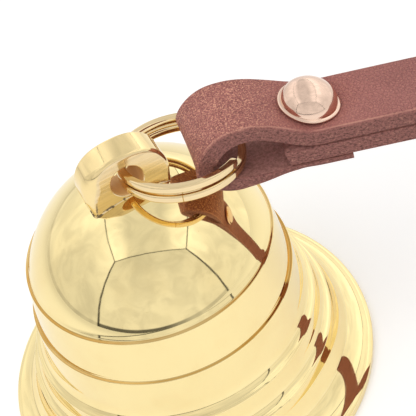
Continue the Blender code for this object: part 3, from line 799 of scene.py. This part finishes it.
def strap_tail():
    """The inner layer past the rivet, the eye at the far end, and back over it."""
    layers = LEATHER + LAYER_GAP
    eye = HANG_EYE_RADIUS + LEATHER / 2
    bend = BEND_RADIUS * BEND_ANGLE
    tail = (spine(bend)[0].y - HANG_EYE_RADIUS - LEATHER) / math.sin(BEND_ANGLE)
    lengths = [bend * k / TAIL_STEPS for k in range(TAIL_STEPS)]
    lengths += [bend + tail * k / TAIL_STEPS for k in range(TAIL_STEPS + 1)]
    inner, outer = [], []
    for length in lengths:
        point, ahead = spine(length)
        apart = layers / 2 + (eye - layers / 2) * eased(length / (bend + tail))
        side = Vector((-ahead.y, ahead.x)) * apart
        inner.append((*(point - side), LEATHER))
        outer.append((*(point + side), LEATHER))
    centre, ahead = spine(lengths[-1])
    side = Vector((-ahead.y, ahead.x))
    turns = [math.pi * k / HANG_EYE_STEPS for k in range(1, HANG_EYE_STEPS)]
    end = [(*(centre + eye * (math.sin(t) * ahead - math.cos(t) * side)), LEATHER) for t in turns]
    return inner + end + list(reversed(outer))


def strap_line():
    """Middle line of the leather as (along, up, thickness): inner end, tail, loop, lower end."""
    inner = [(RIVET_X - INNER_LAP, INNER_Z, LEATHER), (RIVET_X, INNER_Z, LEATHER)]
    outer = [(RIVET_X + LOWER_LAP, OUTER_Z, LEATHER), (RIVET_X, OUTER_Z, LEATHER)]
    arch = [(BAR_X + RIVET_REACH * share, BAR_Z + up, LEATHER) for share, up in ARCH]
    fold = [(BAR_X + along, BAR_Z + up, LEATHER * share) for along, up, share in FOLD]
    lower_z = LOWER_TOP_Z - SKIVED / 2
    lower = [(x, lower_z, SKIVED) for x in (RIVET_X - BASE_RADIUS, RIVET_X, RIVET_X + LOWER_LAP)]
    return smooth_line(inner + strap_tail() + outer + arch + fold + lower, LINE_STEPS)


def strap_section(thickness):
    """Outline across the strap as (across, out, cut edge share, flesh share), from its grain side."""
    half = thickness / 2
    wide = STRAP_WIDTH / 2
    grain = min(GRAIN_ROUND, 0.4 * thickness)
    flesh = min(FLESH_ROUND, 0.3 * thickness)
    quarter = [math.radians(18 * k) for k in range(1, 5)]
    side = [(wide - grain + grain * math.sin(a), half - grain + grain * math.cos(a),
             math.sin(a) ** 4, 0.0) for a in quarter]
    upright = [half - grain - (thickness - grain - flesh) * k / 4 for k in range(5)]
    side += [(wide, out, 1.0, 0.0) for out in upright]
    side += [(wide - flesh + flesh * math.cos(a), flesh - half - flesh * math.sin(a),
              1.0, 0.5) for a in quarter]
    top = [((wide - grain) * (k / 12 - 1), half, 0.0, 0.0) for k in range(25)]
    under = [((wide - flesh) * (1 - k / 6), -half, 0.0, 1.0) for k in range(13)]
    mirrored = [(-across, *rest) for across, *rest in reversed(side)]
    return top + side + under + mirrored


def folded(station, spot, across):
    """Skews the fold above the ring and lets it sag to the far side under the ring."""
    under = clamped((BAR_Z + LEATHER - station.y) / LEATHER)
    skived_run = RIVET_REACH - BASE_RADIUS
    side = across / STRAP_WIDTH
    spot.x -= FOLD_SKEW * side * clamped((RIVET_X - station.x) / RIVET_REACH) * (1 - under)
    spot.z -= FOLD_SAG * side * clamped((BAR_X + skived_run - station.x) / skived_run) * under


def pressed(point, share):
    """Leather pushed down by the rivet's cap, with a soft rim round it."""
    local = CAP_SEAT.inverted() @ point
    reach = math.hypot(local.x, local.y)
    limit = HOLLOW_SLOPE * max(0.0, reach - CAP_RADIUS - HOLLOW_GAP) - HOLLOW_GAP
    high = local.z - limit
    if high > -HOLLOW_SOFT and reach < 2 * CAP_RADIUS:
        sunk = high if high > HOLLOW_SOFT else (high + HOLLOW_SOFT) ** 2 / (4 * HOLLOW_SOFT)
        local.z -= share * sunk
    return CAP_SEAT @ local


def strap_spot(station, ahead, run, slant, across, out, raw):
    """Where a point of the outline lies, with the fold, the ragged edge and the cap's hollow."""
    x = station.x + ahead.y * out + slant * out
    spot = Vector((x, STRAP_Y + across, station.y - ahead.x * out))
    folded(station, spot, across)
    seed = Vector([size * scale for size, scale in zip((run, out, across), RAGGED_SCALE)])
    spot.y += math.copysign(raw * noise.noise(seed) * RAGGED_DEPTH, across)
    if station.y > INNER_Z + LEATHER / 2 and abs(x - RIVET_X) < 2 * CAP_RADIUS:
        spot = pressed(spot, clamped(out / station.z + 0.5))
    return spot


def skinned(edit, rings, lengths):
    """Faces between the strap's outlines, laid out flat in the leather's own map."""
    grid = edit.loops.layers.uv.new("leather")
    around = [0.0]
    for a, b in zip(rings[0], rings[0][1:] + rings[0][:1]):
        around.append(around[-1] + (b.co - a.co).length)
    for k, (ring, following) in enumerate(zip(rings, rings[1:])):
        for i in range(len(ring)):
            j = (i + 1) % len(ring)
            face = edit.faces.new((ring[i], ring[j], following[j], following[i]))
            corners = [(lengths[k], around[i]), (lengths[k], around[i + 1]),
                       (lengths[k + 1], around[i + 1]), (lengths[k + 1], around[i])]
            for loop, corner in zip(face.loops, corners):
                loop[grid].uv = corner


def make_strap():
    """Leather swept along the strap's line, skewed in the fold, with raw cut edges."""
    line = strap_line()
    edit = bmesh.new()
    cut_share = edit.verts.layers.float.new("cut_edge")
    flesh_share = edit.verts.layers.float.new("flesh_side")
    rings, lengths, run = [], [], 0.0
    for k, station in enumerate(line):
        before, after = line[max(k - 1, 0)], line[min(k + 1, len(line) - 1)]
        ahead = (after.xy - before.xy).normalized()
        run += (station.xy - before.xy).length
        slant = INNER_END_SLANT if k == 0 else 0.0
        ring = []
        for across, out, raw, flesh in strap_section(station.z):
            point = edit.verts.new(strap_spot(station, ahead, run, slant, across, out, raw))
            point[cut_share] = raw
            point[flesh_share] = flesh
            ring.append(point)
        rings.append(ring)
        lengths.append(run)
    skinned(edit, rings, lengths)
    for ring in (rings[0], rings[-1]):
        end = bmesh.ops.contextual_create(edit, geom=ring)["faces"]
        bmesh.ops.triangulate(edit, faces=end)
        for point in ring:
            point[cut_share] = 1.0
    bmesh.ops.recalc_face_normals(edit, faces=edit.faces)
    strap = formed("folded_strap", edit, HIDE)
    shaded(strap.data, sharp=50)
    settle(strap, "strap", "strap_leather", "leather_strap")


# Rivet

def make_rivet():
    """Domed cap with a narrow brim on its tube, and the disc under the strap."""
    angles = [math.radians(2 * k) for k in range(1, 45)]
    rise = CAP_HEIGHT - BRIM_HEIGHT
    dome = [(0.0, CAP_HEIGHT)]
    dome += [(CAP_DOME_RADIUS * math.sin(a), BRIM_HEIGHT + rise * math.cos(a)) for a in angles]
    brim = [(CAP_DOME_RADIUS + CAP_DOME_FOOT, BRIM_HEIGHT)]
    brim += arc((CAP_RADIUS - BRIM_ROUND, BRIM_ROUND), BRIM_ROUND, 50, -90, 10)
    cap = turned("domed_rivet_cap", dome + brim + [(0.0, 0.0)], ROSE, 160)
    cap.data.transform(CAP_SEAT)
    low = LOWER_TOP_Z - SKIVED
    high = OUTER_Z + LEATHER / 2
    pipe = [(0.0, low), (TUBE_RADIUS, low), (TUBE_RADIUS, high), (0.0, high)]
    tube = turned("rivet_tube", pipe, ROSE, 40)
    stand = Matrix.Translation((RIVET_X, STRAP_Y, 0.0))
    tube.data.transform(stand)
    settle(joined(cap, tube), "strap", "rivet_rose", "rivet_cap")
    under = [(radius * MM, BASE_TOP_Z - drop * MM) for radius, drop in BASE_PROFILE]
    base = turned("rivet_base_disc", [(0.0, BASE_TOP_Z)] + under, ROSE)
    base.data.transform(stand)
    settle(base, "strap", "rivet_rose", "rivet_base")


# Clapper

def eye_loop(name, radius, height, across, thickness):
    """Upright loop of wire round a height on the bell's axis, across X or Y."""
    turns = [math.pi * k / 36 for k in range(72)]
    ring = [(radius * math.cos(t), height + radius * math.sin(t)) for t in turns]
    points = [(side, 0.0, up) if across == "X" else (0.0, side, up) for side, up in ring]
    return wire_loop(name, points, thickness, CLAPPER_BRASS)


def shank(name, radius, low, high):
    """Round bar with eased ends."""
    slim = radius - SHANK_EASE
    profile = [(0.0, high), (slim, high), (radius, high - SHANK_EASE), (radius, low + SHANK_EASE),
               (slim, low), (0.0, low)]
    return turned(name, profile, CLAPPER_BRASS, 48)


def hex_nut(name, flats, low, high, bore):
    """Six-sided nut with chamfered corners and a bored hole."""
    middle = (low + high) / 2
    half = (high - low) / 2
    corner = flats / math.sqrt(3)
    side = half - NUT_CHAMFER * (corner - flats / 2)
    wide = bore + NUT_EASE
    edit = bmesh.new()
    bmesh.ops.create_cone(edit, cap_ends=True, segments=6, radius1=corner, radius2=corner,
                          depth=high - low, matrix=Matrix.Translation((0, 0, middle)))
    nut = formed(name, edit, CLAPPER_BRASS)
    crown = turned("nut_crown_tool", [
        (0.0, middle + half), (flats / 2, middle + half), (corner, middle + side),
        (corner, middle - side), (flats / 2, middle - half), (0.0, middle - half)], CLAPPER_BRASS, 72)
    hole = turned("nut_bore_tool", [
        (0.0, high + flats), (wide, high + flats), (wide, high), (bore, high - NUT_EASE),
        (bore, low + NUT_EASE), (wide, low), (wide, low - flats), (0.0, low - flats)], CLAPPER_BRASS, 48)
    cut(nut, crown, "INTERSECT")
    cut(nut, hole)
    plain(nut, sharp=30)
    discard(crown, hole)
    return nut


def make_clapper():
    """Eye screw and its nut, the loose link, the rod, the ball and its nut."""
    screw = shank("hanging_eye_screw", SCREW_RADIUS, EYE_Z + SCREW_EYE, BOSS_Z + SCREW_DEPTH)
    eye = eye_loop("screw_eye", SCREW_EYE, EYE_Z, "X", EYE_WIRE)
    settle(joined(screw, eye), "bell", "bell_brass", "clapper_eye_screw")
    nut_low = CROWN_NUT_TOP_Z - CROWN_NUT_HEIGHT
    lock = hex_nut("crown_lock_nut", CROWN_NUT_FLATS, nut_low, CROWN_NUT_TOP_Z, CROWN_NUT_BORE)
    settle(lock, "bell", "bell_brass", "eye_jam_nut")
    link = eye_loop("loose_link", LINK_RADIUS, LINK_Z, "Y", LINK_WIRE)
    settle(link, "link", "bell_brass", "clapper_link")
    rod = shank("swinging_rod", ROD_RADIUS, BALL_TOP_Z - ROD_DEPTH, ROD_EYE_Z - ROD_EYE)
    rod_eye = eye_loop("rod_eye", ROD_EYE, ROD_EYE_Z, "X", EYE_WIRE)
    settle(joined(rod, rod_eye), "clapper", "bell_brass", "clapper_rod")
    nut_low = BALL_TOP_Z + SEAM
    nut = hex_nut("ball_lock_nut", BALL_NUT_FLATS, nut_low, nut_low + BALL_NUT_HEIGHT, BALL_BORE)
    settle(nut, "clapper", "bell_brass", "ball_jam_nut")
    bottom = BALL_TOP_Z - BALL_BORE_DEPTH
    bore = [(0.0, bottom), (BALL_BORE, bottom), (BALL_BORE, BALL_TOP_Z - BALL_BORE_EASE)]
    round_line = arc((0.0, BALL_Z), BALL_RADIUS, BALL_START_ANGLE, -90, 60)
    round_line[-1] = (0.0, BALL_Z - BALL_RADIUS)
    ball = turned("striking_ball", bore + round_line, CLAPPER_BRASS, 128)
    settle(ball, "clapper", "bell_brass", "clapper_ball")


# Finishes

def polish_group():
    """Small faults of polished metal: slow tarnish, specks, haze and a slightly wavy surface."""
    tree, given, made = new_tree(
        "polish_faults", "ShaderNodeTree",
        [("Place", "Vector"), ("Tarnish Size", "Float"), ("Streak", "Vector")],
        [("Tarnish", "Float"), ("Specks", "Float"), ("Haze", "Float"), ("Height", "Float")])
    place = given["Place"]
    slow = cloudy(place, given["Tarnish Size"], 5.0, 0.6)
    grains = cloudy(place, SPECK_SCALE, 2.0)
    streaks = drawn_out(place, given["Streak"], 3.0)
    waves = cloudy(place, WAVE_SCALE, 1.0)
    feed(made["Tarnish"], remap(slow, 0.42, 0.72))
    feed(made["Specks"], remap(grains, 0.70, 0.78))
    feed(made["Haze"], times(remap(streaks, 0.35, 0.75), slow))
    feed(made["Height"], plus(waves, times(streaks, 0.015)))
    return tree


def surface(name):
    """A new material: its tree, the inputs of its shader and the piece's own coordinates."""
    material = bpy.data.materials.new(name)
    material.use_nodes = True
    tree = material.node_tree
    place = put(tree, "ShaderNodeTexCoord")["Object"]
    inputs = tree.nodes["Principled BSDF"].inputs
    return SimpleNamespace(material=material, tree=tree, place=place, inputs=inputs)


def bumped(skin, height, depth):
    """Adds a bump to a surface, on top of any that it has."""
    normal = skin.inputs["Normal"]
    values = {"Strength": 1.0, "Distance": depth, "Height": height}
    if normal.is_linked:
        values["Normal"] = normal.links[0].from_socket
    feed(normal, put(skin.tree, "ShaderNodeBump", values)[0])


def polished(name, bright, dull, roughness, haze, streak, wave):
    """Polished metal with its faults; returns its nodes so that a piece can add its own marks."""
    metal = surface(name)
    given = {"Place": metal.place, "Tarnish Size": TARNISH_SCALE, "Streak": streak}
    faults = put(metal.tree, "ShaderNodeGroup", given, node_tree=POLISH)
    worn = larger(times(faults["Tarnish"], 0.35), times(faults["Specks"], 0.5))
    metal.haze = faults["Haze"]
    metal.tint = mixed(worn, bright, dull)
    metal.rough = plus(times(metal.haze, haze), roughness)
    metal.inputs["Metallic"].default_value = 1.0
    feed(metal.inputs["Base Color"], metal.tint)
    feed(metal.inputs["Roughness"], metal.rough)
    bumped(metal, faults["Height"], wave)
    return metal


def bell_finish():
    """Bright outside, a duller turned inside, and painted brown shade in the corners of the ledges."""
    metal = polished("bell_brass", BRIGHT_BRASS, DULL_BRASS, roughness=0.035, haze=0.06,
                     streak=(30.0, 30.0, 1500.0), wave=0.012 * MM)
    inside = attribute(metal.tree, "finish")
    height = parted(metal.place)[2]
    # Painted shade: brown darkening in the two ledge corners, uneven along them.
    upper, lower = [between(height, low, high, LEDGE_SOFT) for low, high in LEDGE_CORNERS]
    left = times(larger(upper, lower), remap(metal.haze, 0.05, 0.4, 0.6, 0.95))
    tint = mixed(left, metal.tint, CORNER_BROWN)
    tint = mixed(times(inside, 0.55), tint, INSIDE_BRASS)
    feed(metal.inputs["Base Color"], tint)
    feed(metal.inputs["Roughness"], plus(metal.rough, times(inside, 0.27)))
    tool_marks = drawn_out(metal.place, TOOL_MARK_SCALE, 2.0)
    bumped(metal, times(tool_marks, inside, 1.6), 0.012 * MM)
    return metal.material


def foot_flux(place, ragged):
    """Spots of flux close to the dome, most of them at the near corner of the lug's foot."""
    reach = minus(distance(place, (0.0, 0.0, DOME_CENTRE_Z)), DOME_RADIUS)
    low = remap(reach, 0.25 * MM, 0.7 * MM, 1.0, 0.0)
    corner = distance(place, FLUX_CORNER)
    spots = plus(ragged, remap(corner, 1.0 * MM, 6.0 * MM, 0.14, 0.0))
    return times(low, remap(spots, 0.6, 0.68, 0.0, 0.9))


def edge_flux(own, ragged):
    """Thin broken line of flux that leans along the lug's near left edge and fades upwards."""
    x, y, z = own
    lean = times(minus(z, FLUX_LINE_Z), FLUX_LINE_LEAN)
    aside = size_of(minus(minus(x, FLUX_LINE_X), lean))
    line = remap(aside, *FLUX_LINE_WIDTH, 0.85, 0.0)
    near = remap(y, 0.6 * MM - LUG_HALF_THICK, 0.3 * MM - LUG_HALF_THICK)
    fade = remap(z, *FLUX_LINE_FADE, 1.0, 0.0)
    return times(line, near, fade, remap(ragged, 0.36, 0.5))


def lug_finish():
    """Cast brass with brushed faces, a rough hole painted deep orange for brass mirrored in brass, and
    dark flux at its foot and near left edge.
    """
    metal = polished("lug_brass", LUG_COLOUR, DULL_BRASS, roughness=0.07, haze=0.1,
                     streak=(500.0, 500.0, 500.0), wave=0.03 * MM)
    own = put(metal.tree, "ShaderNodeVectorRotate", {"Vector": metal.place, "Angle": -LUG_YAW},
              rotation_type="Z_AXIS")[0]
    x, y, z = parted(own)
    face = remap(size_of(y), LUG_HALF_THICK - 0.2 * MM, LUG_HALF_THICK - 0.02 * MM)
    brushed = drawn_out(own, BRUSH_SCALE, 3.0)
    up = minus(z, LUG_HOLE_Z)
    from_middle = calc("SQRT", plus(times(x, x), times(up, up)))
    # Painted reflection: the bore is tinted deep orange and made less metallic, standing in for brass
    # mirrored in brass; its extra roughness is the bore's own.
    hole = remap(from_middle, LUG_HOLE_RADIUS + 0.02 * MM, LUG_HOLE_RADIUS + 0.25 * MM, 1.0, 0.0)
    strokes = mixed(remap(brushed, 0.36, 0.64), FACE_DARK, FACE_LIGHT)
    tint = mixed(hole, mixed(face, metal.tint, strokes), HOLE_BRASS)
    ragged = cloudy(metal.place, FLUX_SCALE, 3.0)
    flux = larger(foot_flux(metal.place, ragged), edge_flux((x, y, z), ragged))
    feed(metal.inputs["Base Color"], mixed(flux, tint, FLUX_BROWN))
    rough = plus(metal.rough, times(face, 0.06))
    rough = plus(rough, times(larger(flux, hole), 0.35))
    feed(metal.inputs["Roughness"], rough)
    dull = larger(times(flux, 0.7), times(hole, 0.9))
    feed(metal.inputs["Metallic"], minus(1.0, dull))
    bumped(metal, times(brushed, face), 0.012 * MM)
    return metal.material


def ring_finish():
    """Gilt wire with the fine butt mark of its cut end on the lower coil."""
    metal = polished("ring_gilt", GILT_COLOUR, GILT_DULL, roughness=0.07, haze=0.1,
                     streak=(900.0, 900.0, 900.0), wave=0.01 * MM)
    offset = vectors("SUBTRACT", metal.place, BUTT_POINT)
    along = size_of(vectors("DOT_PRODUCT", offset, BUTT_TANGENT, "Value"))
    near = distance(metal.place, BUTT_POINT)
    line = remap(along, 0.06 * MM, 0.13 * MM, 0.85, 0.0)
    mark = times(line, remap(near, 1.0 * MM, 1.15 * MM, 1.0, 0.0))
    feed(metal.inputs["Base Color"], mixed(mark, metal.tint, CORNER_BROWN))
    feed(metal.inputs["Roughness"], plus(metal.rough, times(mark, 0.4)))
    return metal.material


def leather_finish():
    """Grained red-brown leather with painted shade in its creases and painted highlight and shade on its
    grain, strongest in the bend, with raw edges and a fuzzy flesh side.
    """
    hide = surface("strap_leather")
    tree, place = hide.tree, hide.place
    grid = put(tree, "ShaderNodeUVMap", uv_map="leather")[0]
    raw = attribute(tree, "cut_edge")
    flesh = attribute(tree, "flesh_side")
    open_side = larger(raw, flesh)
    along = parted(place)[0]
    bent = remap(along, 24.0 * MM, 36.0 * MM, 1.0, 0.3)
    pebbles = put(tree, "ShaderNodeTexVoronoi", {
        "Vector": place, "Scale": PEBBLE_SCALE, "Randomness": 1.0}, feature="DISTANCE_TO_EDGE")[0]
    creases = remap(pebbles, 0.0, 0.09)
    pores = cloudy(place, PORE_SCALE, 3.0, 0.6)
    cloud = cloudy(place, CLOUD_SCALE, 4.0)
    fibres = drawn_out(grid, FIBRE_SCALE, 4.0, 0.7)
    fuzz = cloudy(place, FUZZ_SCALE, 5.0, 0.75)
    top = mixed(remap(cloud, 0.3, 0.7), HIDE_DARK, HIDE_LIGHT)
    top = mixed(times(remap(along, 28.0 * MM, 60.0 * MM), 0.6), top, HIDE_FAR)
    # Painted shade in the creases between the grain's pebbles, and painted highlight and shade on the
    # raised and sunk parts of the pore pattern that also makes the bump; the pores' marks are strongest
    # near the fold.
    top = mixed(times(minus(1.0, creases), 0.35), top, PAINTED_CREASE_SHADE)
    painted_pore_highlight = times(remap(pores, 0.5, 0.66), times(bent, 0.9))
    painted_pore_shade = times(remap(pores, 0.5, 0.36), times(bent, 0.85))
    top = mixed(painted_pore_highlight, top, PAINTED_GRAIN_HIGHLIGHT)
    top = mixed(painted_pore_shade, top, PAINTED_CREASE_SHADE)
    side = mixed(remap(fibres, 0.32, 0.62), EDGE_DARK, EDGE_LIGHT)
    side = mixed(times(remap(fuzz, 0.54, 0.68), 0.7), side, EDGE_RUBBED)
    back = mixed(remap(fuzz, 0.35, 0.65), FLESH_DARK, FLESH_LIGHT)
    rub = times(between(raw, 0.06, 0.3, 0.05), remap(cloud, 0.35, 0.6, 0.15, 0.7))
    skin = mixed(raw, mixed(flesh, top, back), side)
    feed(hide.inputs["Base Color"], mixed(rub, skin, EDGE_RUBBED))
    rough = remap(pores, 0.3, 0.7, 0.42, 0.6)
    feed(hide.inputs["Roughness"], plus(rough, times(open_side, 0.28)))
    hide.inputs["Specular IOR Level"].default_value = 0.22
    grain = plus(times(creases, 0.5), times(pores, 0.9))
    rough_side = plus(times(fibres, 1.6), times(fuzz, 1.5))
    bumped(hide, either(open_side, grain, rough_side), 0.12 * MM)
    return hide.material


# Studio

def mirror_rays(rays):
    """Rays that metal or glass sends on."""
    return larger(rays["Is Glossy Ray"], rays["Is Transmission Ray"])


def tent_panels(way):
    """Brightness of a box tent in each direction: bright panels with thin dark seams between them."""
    x, y, z = parted(way)
    left = over(x, -TENT_LEFT)
    sides = larger(left, over(x, TENT_RIGHT))
    front = over(y, -TENT_FRONT)
    walls = larger(sides, front)
    far = larger(larger(walls, z), 0.05)
    folds = cloudy(way, 7.0, 3.0)
    wrinkle = times(minus(folds, 0.5), 0.05)

    def apart(first, second):
        """How far a direction is to one side of the seam between two panels."""
        return over(minus(first, second), far)

    def seam(first, second, dark, bright, level):
        """A wavy dark line along the seam between two panels."""
        near = size_of(plus(apart(first, second), wrinkle))
        return remap(near, dark, bright, level, 1.0)

    # Panels: the side walls, the front wall and the ceiling, with the cloth's own clouds.
    above = remap(apart(z, walls), -0.01, 0.01)
    fronted = remap(apart(front, sides), -0.01, 0.01)
    climb = over(z, far)
    side_wall = times(remap(climb, 0.1, 0.95, 0.78, 1.04), remap(x, -0.2, 0.4, 1.0, 1.12),
                      remap(y, 0.0, 0.45, 1.0, 1.24))
    front_wall = remap(climb, 0.2, 0.95, 0.88, 0.76)
    ceiling = remap(over(sides, far), 0.32, 0.8, 0.8, 1.16)
    panel = either(above, either(fronted, side_wall, front_wall), ceiling)
    cloth = cloudy(way, 3.0, 5.0, distortion=1.2)
    bright = times(panel, remap(cloth, 0.3, 0.7, 0.88, 1.08))
    # Seams: under the ceiling, at the front corners and along the floor. The back is open and white.
    ridge = seam(z, walls, 0.008, 0.03, 0.25)
    post = larger(seam(front, sides, 0.016, 0.048, 0.12), above)
    along_front = times(remap(front, 0.5, 0.9), remap(x, 0.0, 0.5, 0.85, 0.3))
    along_left = times(remap(left, 0.5, 0.9), 0.22)
    low_edge = between(z, -0.03, 0.035, 0.02)
    sill = times(low_edge, either(fronted, along_left, along_front))
    seams = times(ridge, post, minus(1.0, sill))
    behind = remap(larger(z, walls), 0.02, 0.3)
    return either(behind, 1.0, times(bright, seams))


def tent_world():
    """Soft white light, in which metal sees the box tent and the camera sees white."""
    world = bpy.data.worlds.new("white_tent")
    world.use_nodes = True
    tree = world.node_tree
    way = put(tree, "ShaderNodeTexCoord")["Generated"]
    soft = remap(parted(way)[2], -0.2, 1.0, 0.55, 0.78)
    rays = put(tree, "ShaderNodeLightPath")
    seen = either(mirror_rays(rays), soft, tent_panels(way))
    background = tree.nodes["Background"].inputs
    background["Color"].default_value = WHITE
    feed(background["Strength"], larger(seen, rays["Is Camera Ray"]))
    bpy.context.scene.world = world


def floor():
    """White sheet under the bell, which keeps a soft shadow, and which in metal glows with painted light
    that grows towards +X.
    """
    sheet = surface("white_sheet")
    weave = cloudy(sheet.place, WEAVE_SCALE, 3.0)
    feed(sheet.inputs["Base Color"], mixed(weave, SHEET_DARK, SHEET_LIGHT))
    sheet.inputs["Roughness"].default_value = 0.9
    sheet.inputs["Specular IOR Level"].default_value = 0.0
    sheet.inputs["Emission Color"].default_value = WHITE
    rays = put(sheet.tree, "ShaderNodeLightPath")
    along = parted(sheet.place)[0]
    # Painted light: seen in metal, the sheet glows, more strongly towards +X.
    in_metal = times(mirror_rays(rays), remap(along, -30.0 * MM, 90.0 * MM, 0.12, 0.18))
    lift = larger(in_metal, times(rays["Is Camera Ray"], 0.22))
    feed(sheet.inputs["Emission Strength"], lift)
    edit = bmesh.new()
    bmesh.ops.create_grid(edit, x_segments=1, y_segments=1, size=SHEET_HALF)
    formed("white_sheet", edit, sheet.material)


def lamp():
    """One broad soft lamp overhead, which the metal doesn't mirror."""
    light = bpy.data.lights.new("soft_overhead", "AREA")
    light.shape = "DISK"
    light.size = LAMP_SIZE
    light.energy = LAMP_POWER
    piece = add("soft_overhead", light)
    piece.location = LAMP_PLACE
    aim = Vector(LAMP_AIM) - piece.location
    piece.rotation_euler = aim.to_track_quat("-Z", "Y").to_euler()
    piece.visible_glossy = False


def camera():
    """Camera at the viewing angle: above the bell and turned a little about its own line of sight."""
    lens = bpy.data.cameras.new("view")
    lens.sensor_width = VIEW_SENSOR
    lens.lens = VIEW_LENS
    lens.clip_start = VIEW_NEAR
    lens.clip_end = VIEW_FAR
    back = Vector(VIEW_BACK).normalized()
    up = back.cross(Vector(VIEW_RIGHT)).normalized()
    turn = Matrix((up.cross(back), up, back)).transposed().to_4x4()
    piece = add("view", lens)
    piece.matrix_world = Matrix.Translation(VIEW_PLACE) @ turn
    bpy.context.scene.camera = piece


bpy.context.scene.view_settings.view_transform = "Standard"
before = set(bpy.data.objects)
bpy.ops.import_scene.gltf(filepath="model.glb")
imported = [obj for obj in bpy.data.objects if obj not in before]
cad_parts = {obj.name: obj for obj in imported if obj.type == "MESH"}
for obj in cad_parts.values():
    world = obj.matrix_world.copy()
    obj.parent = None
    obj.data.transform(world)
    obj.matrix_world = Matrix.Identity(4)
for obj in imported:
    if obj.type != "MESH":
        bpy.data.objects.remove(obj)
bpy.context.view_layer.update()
camera()
tent_world()
lamp()
floor()

TURNED = turned_tree()
WIRE = wire_tree()
FLAT_WIRE = flat_wire_tree()
POLISH = polish_group()
BRASS = bell_finish()
LUG_BRASS = lug_finish()
HIDE = leather_finish()
GILT = ring_finish()
ROSE = polished("rivet_rose", ROSE_COLOUR, ROSE_DULL, roughness=0.09, haze=0.1,
                streak=(600.0, 600.0, 600.0), wave=0.01 * MM).material
CLAPPER_BRASS = polished("clapper_brass", DULL_BRASS, INSIDE_BRASS, roughness=0.16, haze=0.2,
                         streak=(700.0, 700.0, 300.0), wave=0.03 * MM).material

make_bell()
make_lug()
make_ring()
make_strap()
make_rivet()
make_clapper()
